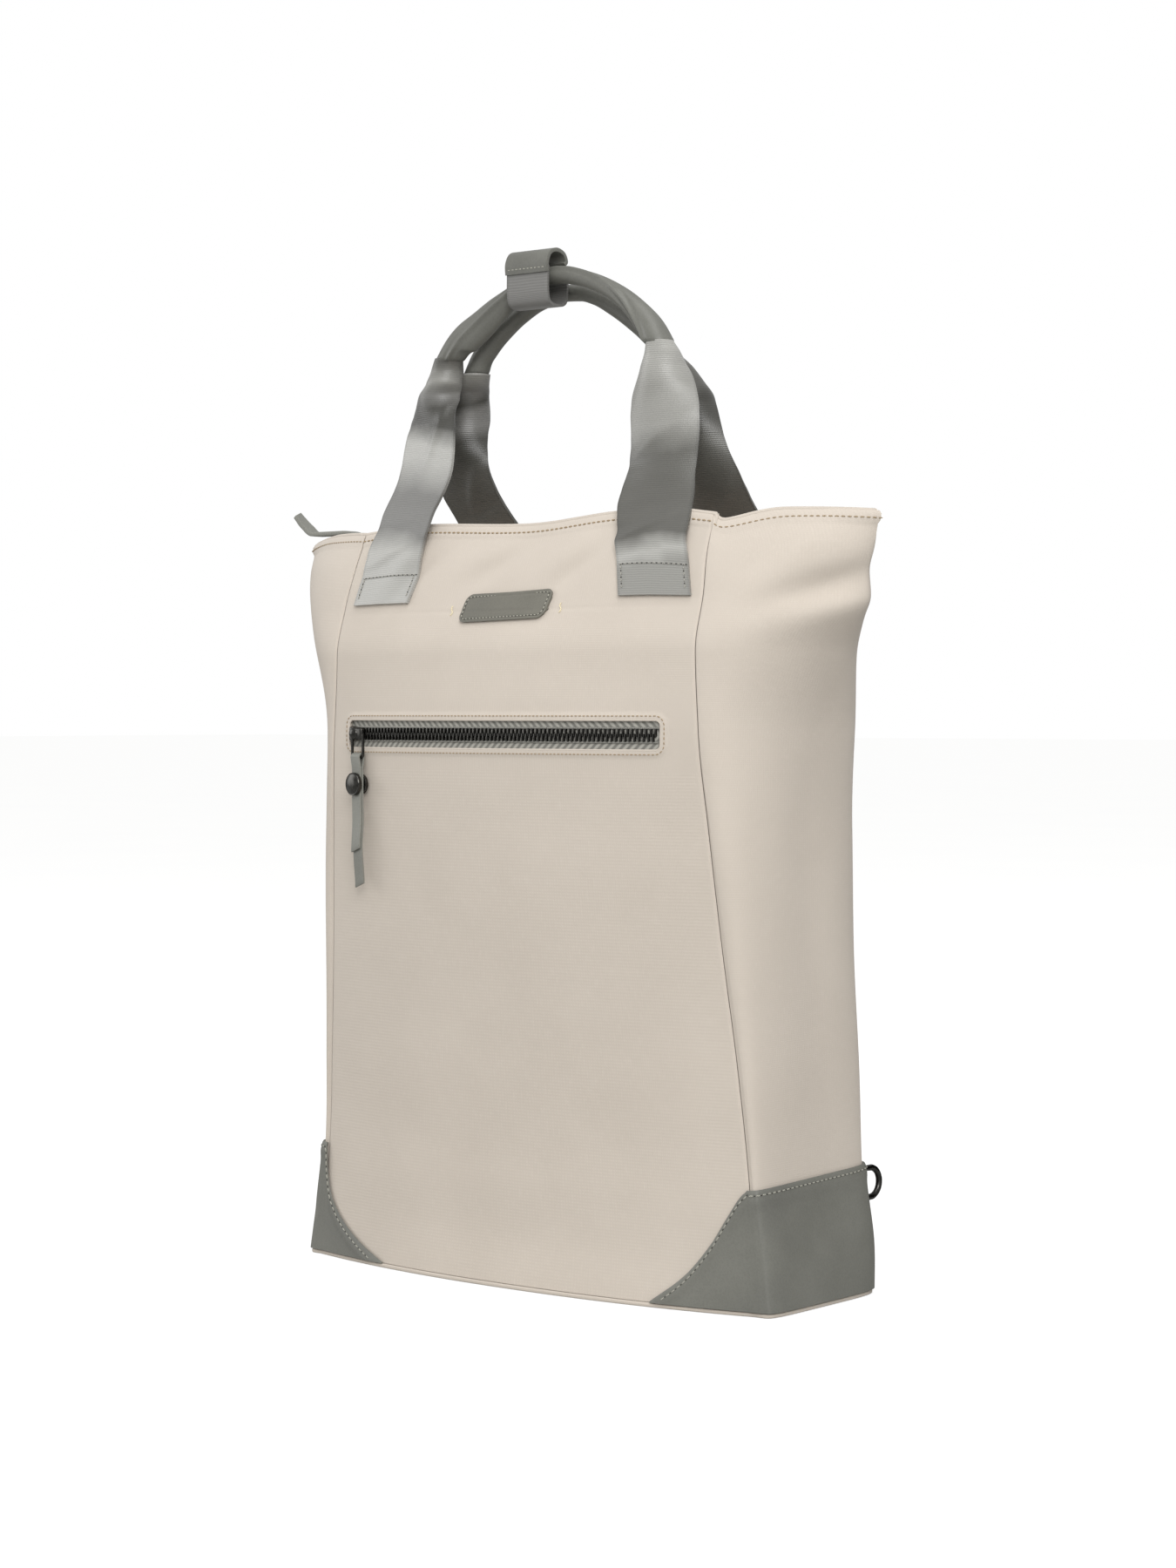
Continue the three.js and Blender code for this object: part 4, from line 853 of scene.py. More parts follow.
def pull_place(u, v):
    y, z = on_line(pull_line, v)
    x = (u - 0.5) * PULL_WIDTH
    slant = 0.35 * x * ease(-0.030, -0.045, z)
    wave = 0.0006 * math.sin(z * 160) * ease(-0.02, -0.05, z)
    return pull_frame @ (pull_top + Vector((x, y + wave, z + slant)))


pull_skin = leatherette("leatherette_grey_pull", "797972", "82827b", "8c8c84", grain=0.0009)
sheet("pocket_pull_strip", (8, 62), pull_place, (PULL_WIDTH, 0.13), PULL_LAYER * 0.92, pull_skin,
      "patch_leatherette", "pocket_pull_strap", offset=0, edge=0.0003)


def weld(piece):
    """Joins points that lie on each other and turns all faces outward."""
    choose(piece)
    bpy.ops.object.mode_set(mode="EDIT")
    bpy.ops.mesh.select_all(action="SELECT")
    bpy.ops.mesh.remove_doubles(threshold=0.00001)
    bpy.ops.mesh.normals_make_consistent(inside=False)
    bpy.ops.object.mode_set(mode="OBJECT")


def turned(name, profile, place, look, slot, *nodes, body="bag"):
    """A turned piece from its (radius, y) profile, spun about the y axis."""
    mesh = bpy.data.meshes.new(name)
    mesh.from_pydata([(r, y, 0) for r, y in profile], [(i, i + 1) for i in range(len(profile) - 1)], [])
    piece = added(bpy.data.objects.new(name, mesh))
    modify(piece, "SCREW", axis="Y", steps=40, render_steps=40, use_merge_vertices=True,
           merge_threshold=0.00001)
    weld(piece)
    piece.data.transform(place)
    return settle(piece, look, slot, *nodes, body=body, angle=35)


front, rear = -PULL_LAYER - GAP, PULL_LAYER + GAP
r, t = STUD_CAP / 2, STUD_CAP_THICKNESS
# columns: share of the cap's radius, share of its thickness in front of the strip
STUD_DOME = ((0, 1), (0.35, 1), (0.62, 0.93), (0.8, 0.78), (0.86, 0.74), (0.93, 0.80), (0.985, 0.68),
             (1, 0.5), (1, 0.15), (0.96, 0))
stud_profile = [(across * r, front - deep * t) for across, deep in STUD_DOME]
stud_profile += [(STUD_PIN / 2, front), (STUD_PIN / 2, rear)]
r, t = STUD_REAR_CAP / 2, STUD_REAR_THICKNESS
stud_profile += [(0.95 * r, rear), (r, rear + 0.15 * t), (r, rear + 0.75 * t), (0.93 * r, rear + t),
                 (0, rear + t)]
turned("pocket_pull_screw_post", stud_profile,
       pull_frame @ Matrix.Translation(pull_top - Vector((0, 0, STUD_DROP))), gunmetal, "gunmetal",
       "pocket_pull_stud")

# TOP CLOSURE
# Two facings of the body cloth slope in from the walls, 13 mm below the rim, to a zip of the same kind.
CLOSURE_TOP, CLOSURE_LENGTH, FACING_MARGIN, FACING_THICKNESS = 0.387, 0.292, 0.0013, 0.0014
TAPE_LEVEL = CLOSURE_TOP - 0.005
TOP_TAPE_WIDTH, TOP_PULL_WIDTH, TOP_PULL_THICKNESS = 0.026, 0.009, 0.0024


def inner_wall(x, z, face):
    """The y of a wall's inner face at x, on the front at -1 or the back at 1."""
    s, inset, span = section_at(z), WALL + GAP, abs(x)
    if span <= s["seam"]:
        return (front_point(x, z, -inset) if face < 0 else back_point(x, z, -inset)).y
    half_angle = math.atan2((s["front"] + s["back"]) / 2, s["tip"] - s["seam"])
    power = s["front_round"] if face < 0 else s["back_round"]
    reach = s["tip"] - inset / math.sin(half_angle) - s["seam"]
    v = max(1 - ((span - s["seam"]) / reach) ** power, 0) ** (1 / power)
    side = s["front"] if face < 0 else s["back"]
    return s["tip_shift"] + face * v * (side - inset - face * s["tip_shift"])


def closure_middle(x):
    centre = (inner_wall(0, CLOSURE_TOP, -1) + inner_wall(0, CLOSURE_TOP, 1)) / 2
    return mix(centre, section_at(CLOSURE_TOP)["tip_shift"], (abs(x) / (CLOSURE_LENGTH / 2)) ** 2)


def facing_place(face):
    def place(u, v):
        x = mix(-0.5, 0.5, u) * CLOSURE_LENGTH
        edge = closure_middle(x) + face * (TOP_TAPE_WIDTH / 2 - 0.004)
        wall = inner_wall(x, CLOSURE_TOP, face) - face * FACING_MARGIN
        across = v if face < 0 else 1 - v
        ripple = 0.0006 * math.sin(x * 90) * math.sin(math.pi * across)
        return Vector((x, mix(wall, edge, across), mix(CLOSURE_TOP, TAPE_LEVEL + 0.0016, across) + ripple))
    return place


for name, face in (("front", -1), ("back", 1)):
    sheet(f"top_facing_{name}_cloth", (90, 12), facing_place(face), (CLOSURE_LENGTH, 0.03),
          FACING_THICKNESS, sand_cloth, "body_cloth", f"top_facing_{name}")
    line = [Vector((x, closure_middle(x) + face * (TOP_TAPE_WIDTH / 2 - 0.0016), TAPE_LEVEL + 0.0020))
            for x in (mix(-0.49, 0.49, i / 90) * CLOSURE_LENGTH for i in range(91))]
    stitches(f"top_facing_stitches_{name}", line, sand_thread, "body_cloth")


def top_tape_place(u, v):
    x = mix(-0.5, 0.5, u) * CLOSURE_LENGTH
    return Vector((x, closure_middle(x) + (v - 0.5) * TOP_TAPE_WIDTH, TAPE_LEVEL))


top_tape_cloth = zip_tape_cloth("zip_tape_herringbone_top", TOP_TAPE_WIDTH / 2)
sheet("top_zip_tape_herringbone", (60, 8), top_tape_place, (CLOSURE_LENGTH, TOP_TAPE_WIDTH),
      TAPE_THICKNESS, top_tape_cloth, "zip_tape", "top_zip_tape")


def top_frame(x):
    turn = math.atan2(closure_middle(x + 0.001) - closure_middle(x - 0.001), 0.002)
    at = Vector((x, closure_middle(x), TAPE_LEVEL + GAP + TEETH_THICKNESS / 2))
    return Matrix.Translation(at) @ Matrix.Rotation(turn, 4, "Z") @ Matrix.Rotation(-math.pi / 2, 4, "X")


chain("top_zip_chain", top_frame, -CLOSURE_LENGTH / 2 + 0.014, CLOSURE_LENGTH / 2 - 0.002, "gunmetal",
      "top_zip_teeth")
TOP_SLIDER_X = -CLOSURE_LENGTH / 2 + SLIDER_LENGTH
TOP_SLIDER_FOOT = TAPE_LEVEL + TEETH_THICKNESS + 2 * GAP
zip_slider("top_slider_polished",
           Matrix.Translation((TOP_SLIDER_X, closure_middle(TOP_SLIDER_X), TOP_SLIDER_FOOT))
           @ Matrix.Rotation(-math.pi / 2, 4, "X"), "top_zip_slider")

rim_tip = section_at(BODY_HEIGHT)["tip"]
over = BODY_HEIGHT + GAP + TOP_PULL_THICKNESS / 2
# columns: place along the strip, x, z
TOP_PULL = ((0, TOP_SLIDER_X + 0.006, TOP_SLIDER_FOOT + SLIDER_THICKNESS + 0.0024),
            (0.14, TOP_SLIDER_X - 0.006, TOP_SLIDER_FOOT + SLIDER_THICKNESS + 0.0018),
            (0.5, mix(TOP_SLIDER_X, -rim_tip, 0.6), over), (0.66, -rim_tip, over),
            (0.82, -rim_tip - 0.0081, over + 0.0045), (1, -rim_tip - 0.0162, over + 0.0117))


def top_pull_place(u, v):
    y = mix(closure_middle(TOP_SLIDER_X), 0, 0.5) + (u - 0.5) * TOP_PULL_WIDTH
    slant = 0.5 * (u - 0.5) * TOP_PULL_WIDTH * ease(0.8, 1, v)
    return Vector((smooth(TOP_PULL, 1, v) - slant, y, smooth(TOP_PULL, 2, v) + slant * 0.5))


sheet("top_pull_strip", (8, 50), top_pull_place, (TOP_PULL_WIDTH, 0.07), TOP_PULL_THICKNESS, pull_skin,
      "patch_leatherette", "top_pull_strap", offset=0, edge=0.0005)

# LABEL
# A bare slanted plate of leatherette with rounded corners, sewn on through its edge.
LABEL_LENGTH, LABEL_HEIGHT, LABEL_SLANT, LABEL_TILT = 0.058, 0.0152, 0.0036, math.radians(1.5)
LABEL_THICKNESS, LABEL_LEVEL, LABEL_SHIFT, LABEL_ROUND, LABEL_SEAM_INSET = (
    0.0013, 0.3555, 0.001, 0.0046, 0.0017)


def label_point(along, up, out):
    along += up / LABEL_HEIGHT * LABEL_SLANT
    x = LABEL_SHIFT + along * math.cos(LABEL_TILT) - up * math.sin(LABEL_TILT)
    z = LABEL_LEVEL + along * math.sin(LABEL_TILT) + up * math.cos(LABEL_TILT)
    return front_point(x, z, out)


def label_half(along):
    near = max(LABEL_ROUND - (LABEL_LENGTH / 2 - abs(along)), 0)
    return LABEL_HEIGHT / 2 - LABEL_ROUND + math.sqrt(max(LABEL_ROUND ** 2 - near ** 2, 0))


def label_place(u, v):
    along = (crowd(u, 0.93) - 0.5) * LABEL_LENGTH
    up = (2 * v - 1) * label_half(along)
    from_edge = min(label_half(along) - abs(up), LABEL_LENGTH / 2 - abs(along))
    swell = 0.0004 * ease(0.0, 0.0012, from_edge)
    swell -= 0.0003 * math.exp(-((from_edge - LABEL_SEAM_INSET) / 0.0006) ** 2)
    return label_point(along, up, 2 * GAP + LABEL_THICKNESS - 0.0003 + swell)


label_skin = leatherette("leatherette_grey_label", "68675f", "6e6c63", "757369", grain=0.0009)
sheet("label_plate_bare", (90, 40), label_place, (LABEL_LENGTH, LABEL_HEIGHT), LABEL_THICKNESS,
      label_skin, "patch_leatherette", "label")

label_line = [label_point(x, z, 2 * GAP + LABEL_THICKNESS + 0.0001) for x, z in rounded_rectangle(
    LABEL_LENGTH / 2 - LABEL_ROUND, LABEL_HEIGHT / 2 - LABEL_ROUND, LABEL_ROUND - LABEL_SEAM_INSET, 8)]
label_thread = sewing_thread("sewing_thread_label", "a09e92", "bab8ab")
sewn_row("label", "", label_line, label_thread, "patch_leatherette", 0.0023, 0.0014, 0.00028, 0.0008,
         0.00026, closed=True)
for name, x in (("left", -0.0365), ("right", 0.0375)):
    line = [front_point(x + 0.0006 * math.sin(i), 0.3535 + (i - 3) * 0.0008, 0.0003) for i in range(7)]
    cream_thread = sewing_thread(f"sewing_thread_cream_{name}", "d8cba6", "eee3c4")
    stitches(f"label_bar_tack_{name}", line, cream_thread, "body_cloth", pitch=0.0009, length=0.0016)

# WEBBING
# Satin-faced polyester webbing, 42 mm wide, woven with fine cross ribs. The four feet are sewn below
# the rim. Above it each band rises, turns and folds in on itself until it fits inside a grip's end.
WEBBING_WIDTH, WEBBING_THICKNESS, FOOT_LENGTH, FOOT_BULGE = 0.0425, 0.0016, 0.0415, 0.0028
BULGE_SPAN, LIFT_SPAN, FOOT_EDGE, FOOT_ROW = (0.014, 0.034), (-0.002, 0.014), 0.0025, 0.015
FOOT_X = {"front_right": 0.0950, "front_left": -0.0912, "back_right": 0.0920, "back_left": -0.0900}
# columns in millimetres and degrees: x, y, z of the section's front, turn to the right, fold
STRAPS = {
    "front_right": ((87.8, -56.6, 385, -4, 2), (86.6, -52.2, 395.8, 6, 2), (84.5, -48.3, 404.8, 10, 5),
        (83.2, -44.9, 413.9, 8, 23), (82.2, -43.4, 420.7, 5, 45), (81.8, -41.3, 427.5, 3, 53),
        (81.5, -39.6, 434.3, 3, 47), (81.1, -38.1, 441.1, 4, 41), (79.6, -36.3, 450.2, 6, 46),
        (77.6, -35.1, 457, 8, 69), (75.7, -34, 463.8, 12, 104), (74.9, -33, 470.6, 17, 146),
        (75.3, -32.3, 477.3, 24, 194), (76.5, -32.2, 481.8, 30, 230), (77.5, -32.8, 486.3, 36, 278),
        (77.4, -34, 490.4, 39, 340)),
    "front_left": ((-86.4, -56.2, 386, -4, 2), (-84.8, -52.6, 396.2, -8, 2), (-83.6, -48.9, 406.9, -9, 4),
        (-81.3, -46.2, 414, -8, 4), (-78.8, -43.8, 421, -8, 2), (-77.4, -41.7, 428.1, -8, 2),
        (-77, -40.1, 435.3, -9, 2), (-77.6, -38.9, 442.4, -10, 8), (-78.8, -37.3, 449.6, -12, 16),
        (-82.1, -34.6, 456.9, -14, 42), (-85, -34.4, 464.2, -13, 108), (-83.2, -34.4, 471.3, -3, 196),
        (-74.8, -36, 478.2, 10, 250), (-71.8, -32.8, 485.1, 25, 276), (-66.8, -34.4, 491.1, 36, 316)),
    "back_right": ((85, 25.8, 392, 0, 8), (83.5, 20.6, 399.8, 0, 16), (80.6, 14.6, 404.8, 0, 40),
        (81.6, 7.2, 410, 0, 56), (83.1, -0.6, 416.4, 0, 64), (83, -6, 423, 0, 70),
        (82, -10.4, 429.5, 0, 77), (80.4, -13.8, 436.1, 0, 88), (78.8, -16, 442.8, 0, 106),
        (77.8, -18.4, 451.6, 4, 144), (78.5, -19.9, 458.3, 8, 184), (80.4, -20.4, 465, 14, 236),
        (79, -18.6, 470, 22, 288), (75.6, -17.8, 476.7, 32, 330), (70, -18.7, 483, 38, 352)),
    "back_left": ((-83.4, 25.8, 392, 0, 4), (-82.6, 20.6, 399.8, 0, 4), (-80.6, 14.8, 404.8, -2, 4),
        (-81, 10.4, 409.7, -4, 6), (-82.4, 5, 416.8, -5, 7), (-83.3, -0.4, 423.7, -5, 22),
        (-84.1, -5.6, 430.7, -5, 44), (-84.4, -10.2, 437.6, -3, 84), (-84.4, -12.6, 444.4, 0, 128),
        (-83.5, -13, 451.3, 0, 172), (-81, -11.8, 460.5, 4, 216), (-77.8, -11.8, 467.4, 10, 250),
        (-73, -12.4, 474.4, 20, 296), (-67.4, -15.6, 479, 28, 330), (-62, -18.6, 483.7, 36, 352)),
}
# columns in metres: place across the band, run along it, turn in degrees, long, wide, deep
WEBBING_FOLDS = {
    "front_right": ((0.004, 0.1085, 20, 0.012, 0.0075, -0.0016), (0.004, 0.09, 32, 0.03, 0.004, 0.0014),
        (-0.004, 0.036, 28, 0.022, 0.0032, 0.0013), (0.002, 0.048, 10, 0.03, 0.005, -0.0008)),
    "front_left": ((0.01, 0.1, 62, 0.02, 0.003, 0.0014), (0.003, 0.03, 20, 0.022, 0.0036, 0.0012),
        (-0.004, 0.046, 12, 0.026, 0.005, -0.0008)),
    "back_right": ((0.006, 0.06, 60, 0.022, 0.0036, -0.0012),),
    "back_left": ((0.006, 0.074, 55, 0.018, 0.0036, -0.0014), (0.002, 0.06, 20, 0.02, 0.004, 0.0012)),
}


# Satin webbing: filament polyester with ribs 1.1 mm apart, as on the real one, and a closer selvedge.
# Painted highlight and shade: the base colour is lighter or darker in broad bands where a strap twists,
# as satin catches light. The table gives each strap's bands as run along it in metres and one of five grey
# levels.
SHADED, DULL, EVEN, LIT, BRIGHT = "403f3a", "5c5b56", "747370", "908f8a", "aeada8"
PAINTED_SHEEN = {
    "front_right": ((0, LIT), (0.014, LIT), (0.021, BRIGHT), (0.030, DULL), (0.076, DULL), (0.092, LIT),
                    (0.114, LIT), (0.132, BRIGHT)),
    "front_left": ((0, BRIGHT), (0.028, BRIGHT), (0.040, EVEN), (0.062, EVEN), (0.081, BRIGHT),
                   (0.089, BRIGHT), (0.102, SHADED), (0.113, SHADED), (0.120, EVEN), (0.130, LIT),
                   (0.143, DULL)),
    "back_right": ((0, DULL), (0.100, DULL), (0.110, SHADED), (0.124, SHADED), (0.144, DULL)),
    "back_left": ((0, DULL), (0.075, DULL), (0.090, SHADED), (0.100, SHADED), (0.107, EVEN), (0.117, EVEN),
                  (0.125, SHADED), (0.134, EVEN), (0.145, LIT)),
    "plain": ((0, EVEN), (0.15, EVEN)),
}
PAINTED_SHEEN_REACH = 0.15
PAINTED_SHEEN_SLANT = {"front_right": -0.12, "front_left": 0.16, "back_left": 0.30}


def satin_webbing(name, sheen, slant=0.0):
    made, tree, shader = material(name)
    where = node(tree, "TexCoord").outputs["UV"]
    wobble = node(tree, "TexNoise", {"Vector": where, "Scale": 90.0, "Detail": 1.0})
    bent = node(tree, "Mix", {"Factor": 0.0006, "A": where, "B": wobble.outputs["Color"]},
                data_type="VECTOR").outputs["Result"]
    rib, thread = waves(tree, bent, 0.0011, "Y"), waves(tree, where, 0.0007, "X")
    height = node(tree, "Mix", {"Factor": 0.25, "A": rib, "B": thread}).outputs["Result"]
    parts = node(tree, "SeparateXYZ", {"Vector": where}).outputs
    off = sums(tree, "SUBTRACT", parts["X"], WEBBING_WIDTH / 2)
    selvedge = spread(tree, sums(tree, "ABSOLUTE", off), WEBBING_WIDTH / 2 - 0.0016,
                      WEBBING_WIDTH / 2 - 0.0008, 1.0, 0.84)
    drift = sums(tree, "MULTIPLY_ADD", noise(tree, where, 45.0), 0.012, -0.006)
    run = sums(tree, "ADD", sums(tree, "MULTIPLY_ADD", off, slant, parts["Y"]), drift)
    # Painted highlight and shade: a grey from the strap's bands along its run
    painted_sheen_grey = ramp(tree, sums(tree, "MULTIPLY", run, 1 / PAINTED_SHEEN_REACH),
               *((at / PAINTED_SHEEN_REACH, grey) for at, grey in sheen))
    yarn = sums(tree, "MULTIPLY", spread(tree, height, 0.0, 1.0, 0.86, 1.12), selvedge)
    fill(tree, shader, {"Base Color": shaded(tree, painted_sheen_grey, yarn), "Normal": relief(tree, height, 0.45, 0.0002),
                        "Roughness": 0.42, "Specular IOR Level": 0.7, "Sheen Weight": 0.15,
                        "Sheen Roughness": 0.35})
    return made


webbing_look = satin_webbing("satin_webbing_grey", PAINTED_SHEEN["plain"])
strap_thread = sewing_thread("sewing_thread_webbing", "86847d", "b0aea6")


def with_run(table, start):
    """The table in metres, each row led by its run along the line of its first three columns."""
    rows, last, run = [], None, start
    for x, y, z, *rest in table:
        at = Vector((x, y, z)) / 1000
        run += (at - last).length if last else 0
        last = at
        rows.append((run, *at, *rest))
    return rows


def strap_rows(key):
    """The strap's table, its run counted from the lower end of its foot."""
    return with_run(STRAPS[key], STRAPS[key][0][2] / 1000 - BODY_HEIGHT + FOOT_LENGTH)


def strap_place(key, face, out=0.0):
    """u runs over the width, v over the length, out lifts a stitch off the band."""
    rows = strap_rows(key)
    start, total = rows[0][0], rows[-1][0]
    surface = front_point if face < 0 else back_point

    def place(u, v):
        run, s = v * total, (u - 0.5) * -face
        swell = out
        for across, up, *fold in WEBBING_FOLDS[key]:
            swell += dent(s * WEBBING_WIDTH - across, run - up, *fold)
        x, y, z, turn, fold = (smooth(rows, column, run) for column in range(1, 6))
        foot_x = mix(FOOT_X[key], rows[0][1], min(run / start, 1)) + s * WEBBING_WIDTH
        stand = 1.5 * GAP + WEBBING_THICKNESS + FOOT_BULGE * ease(*BULGE_SPAN, run)
        foot = surface(foot_x, BODY_HEIGHT - FOOT_LENGTH + run,
                       stand + swell * (1 if out else ease(0.015, 0.022, run)))
        fold, turn = math.radians(max(fold, 0.5)), math.radians(turn)
        radius = WEBBING_WIDTH / fold - swell * face
        a = radius * math.sin(fold * s)
        b = WEBBING_WIDTH / fold - radius * math.cos(fold * s)
        free = Vector((x + a * math.cos(turn) - b * math.sin(turn),
                       y + a * math.sin(turn) + b * math.cos(turn), z))
        return foot.lerp(free, ease(*LIFT_SPAN, run - start))
    return place


for name in ("right", "left"):
    for end, face in (("front", -1), ("back", 1)):
        key = f"{end}_{name}"
        length = strap_rows(key)[-1][0]
        # Each strap gets its own painted highlight and shade bands in its base colour
        satin = satin_webbing(f"satin_webbing_{key}", PAINTED_SHEEN[key], PAINTED_SHEEN_SLANT.get(key, 0))
        sheet(f"webbing_{key}_satin", (48, 170), strap_place(key, face), (WEBBING_WIDTH, length),
              WEBBING_THICKNESS, satin, "strap_webbing", f"webbing_{key}")
        lift = strap_place(key, face, 0.0002)
        edge, row = FOOT_EDGE / WEBBING_WIDTH, FOOT_ROW / length
        for part, ends in (("outer", ((1 - edge, 0.02), (1 - edge, row))),
                           ("row", ((0.02, row), (0.98, row))), ("inner", ((edge, 0.02), (edge, row)))):
            (ua, va), (ub, vb) = ends
            line = [lift(mix(ua, ub, i / 30), mix(va, vb, i / 30)) for i in range(31)]
            sewn_row("foot", f"_{part}_{key}", line, strap_thread, "strap_webbing", 0.0029, 0.0019, 0.0004,
                     0.0009, 0.00034)

# GRIPS
# Leatherette sewn round a soft core and over the ends of the webbing. The front grip's lapped seam
# runs along its top at the right, and turns under to its inner edge towards both ends. The back
# grip sits lower and is plain.
# columns in millimetres and degrees: x, z of the middle line, tall, thick, angle of the seam round it
# from the back over the top
GRIPS = {
    "front": (-28, ((-71.3, 489.6, 16, 16, 212), (-66, 495.4, 17, 14.4, 200),
        (-58.4, 501.2, 17.6, 12.8, 186), (-48.6, 507, 16.6, 11.6, 178), (-37.8, 514, 14.6, 10.4, 174),
        (-30, 518.8, 12, 9.6, 172), (-23.4, 522.9, 9.6, 9.4, 170), (-12, 527.2, 9, 9.2, 150),
        (2, 529.6, 8.8, 9, 122), (11, 529, 8.8, 9, 118), (22, 526.6, 8.8, 9, 122), (32, 523.2, 9, 9, 132),
        (40.5, 519.3, 9.4, 9.2, 150), (51, 512.8, 10.6, 10.4, 172), (61.5, 503.6, 12.8, 12.6, 196),
        (68, 496.6, 15, 14.8, 210), (72.3, 489.6, 16.8, 16.6, 218))),
    "back": (-12, ((-66, 483.4, 14, 14, 0), (-62, 491.2, 12.4, 12.4, 0), (-54.4, 499.4, 11.4, 11.6, 0),
        (-45, 506.6, 10.6, 11, 0), (-34, 513.4, 10, 10.4, 0), (-20, 519.4, 9.4, 10, 0),
        (-4, 522.4, 9, 9.8, 0), (8, 521.8, 9, 9.8, 0), (18, 519.2, 9.4, 10, 0), (31, 512.6, 10, 10.4, 0),
        (43, 505, 10.6, 11, 0), (54.4, 496.6, 11.4, 11.6, 0), (62, 489.6, 12.4, 12.4, 0),
        (65.8, 483.2, 14, 14, 0))),
}


def grip_rows(name):
    """The grip's table, its run counted from the left end."""
    y, table = GRIPS[name]
    return with_run([(x, y, z, tall / 1000, thick / 1000, seam) for x, z, tall, thick, seam in table], 0)


def grip_place(rows, seam):
    total = rows[-1][0]

    def place(u, v):
        run = (1 - v) * total
        middle = Vector([smooth(rows, column, run) for column in (1, 2, 3)])
        a, b = (Vector([smooth(rows, column, min(max(run + step, 0), total)) for column in (1, 2, 3)])
                for step in (-0.003, 0.003))
        along = (b - a).normalized()
        up = Vector((-along.z, 0, along.x))
        level_end = ease(0.74, 1, abs(2 * run / total - 1))
        up = up.lerp(Vector((math.copysign(1, run - total / 2), 0, 0)), level_end).normalized()
        turn = 2 * math.pi * u
        tall, thick, seam_at = smooth(rows, 4, run) / 2, smooth(rows, 5, run) / 2, smooth(rows, 6, run)
        rim = min(run, total - run)
        rounding = 0.0008 * math.exp(-rim / 0.0006)
        ridge = 0.0
        if seam:
            off = ((math.degrees(turn) - seam_at + 180) % 360 - 180) * math.radians(1) * (tall + thick) / 2
            ridge = 0.0010 * math.exp(-(off / 0.0010) ** 2)
            ridge -= 0.0002 * math.exp(-((abs(off) - 0.0024) / 0.0009) ** 2)
        tall, thick = tall + ridge - rounding, thick + ridge - rounding
        return middle + up * math.sin(turn) * tall + Vector((0, math.cos(turn) * thick, 0))
    return place


grip_skin = leatherette("leatherette_grey_grip", "63635d", "6c6c66", "75756e", rough=0.42)
for name in GRIPS:
    rows = grip_rows(name)
    grip = grid(f"grip_{name}_padded", 96, 150, grip_place(rows, name == "front"), (0.036, rows[-1][0]))
    weld(grip)
    modify(grip, "SOLIDIFY", thickness=0.0012, offset=-1)
    settle(grip, grip_skin, "grip_leatherette", f"grip_{name}")

# CUFF
# A band of webbing round the front grip, and a leatherette flap on it that stands open in a curl.
CUFF_WIDTH, CUFF_SHIFT, CUFF_THICKNESS, FLAP_THICKNESS = 0.028, -0.009, 0.0014, 0.002
cuff_low, cuff_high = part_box("cuff_webbing")
flap_low, flap_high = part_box("cuff_flap")


def band_place(path, width, shift):
    """A band across x along a path of (y, z) points."""
    table = [(i / (len(path) - 1), y, z) for i, (y, z) in enumerate(path)]

    def place(u, v):
        return Vector((shift + (u - 0.5) * width, smooth(table, 1, v), smooth(table, 2, v)))
    return place


def bent_path(points, steps=24):
    """A smooth line through (y, z) points."""
    line = []
    for k in range(len(points) - 1):
        p0, p1, p2, p3 = (points[min(max(k + j, 0), len(points) - 1)] for j in (-1, 0, 1, 2))
        for i in range(steps):
            t = i / steps
            line.append(tuple(0.5 * (2 * b + (c - a) * t + (2 * a - 5 * b + 4 * c - d) * t ** 2
                                     + (3 * b - a - 3 * c + d) * t ** 3)
                              for a, b, c, d in zip(p0, p1, p2, p3)))
    return line + [points[-1]]


y0, y1, z0, z1 = cuff_low.y, cuff_high.y, cuff_low.z, cuff_high.z
cuff_path = bent_path([(y1, z1), (y1, mix(z0, z1, 0.25)), (mix(y0, y1, 0.8), z0), (mix(y0, y1, 0.2), z0),
                       (y0, mix(z0, z1, 0.25)), (y0, z1)])
sheet("cuff_webbing_satin", (28, 60), band_place(cuff_path, CUFF_WIDTH, CUFF_SHIFT), (CUFF_WIDTH, 0.06),
      CUFF_THICKNESS, webbing_look, "strap_webbing", "cuff_webbing", offset=1)

y0, y1, z0, z1 = flap_low.y + 0.001, flap_high.y - 0.001, flap_low.z, flap_high.z - 0.001
flap_path = bent_path([(y0, z0), (y0 - 0.0002, mix(z0, z1, 0.45)), (mix(y0, y1, 0.16), mix(z0, z1, 0.86)),
                       (mix(y0, y1, 0.5), z1), (mix(y0, y1, 0.86), mix(z0, z1, 0.86)),
                       (y1, mix(z0, z1, 0.55)), (mix(y0, y1, 0.9), mix(z0, z1, 0.40))])
sheet("cuff_flap_leatherette", (28, 60), band_place(flap_path, CUFF_WIDTH + 0.0006, CUFF_SHIFT),
      (CUFF_WIDTH, 0.04), FLAP_THICKNESS, grip_skin, "patch_leatherette", "cuff_flap", offset=0,
      edge=0.0005)
line = [Vector((CUFF_SHIFT + mix(-0.46, 0.46, i / 20) * CUFF_WIDTH, y0 - 0.0012, z0 + 0.0024))
        for i in range(21)]
stitches("flap_stitches", line, label_thread, "patch_leatherette", pitch=0.0025, length=0.0016,
         radius=0.0003)

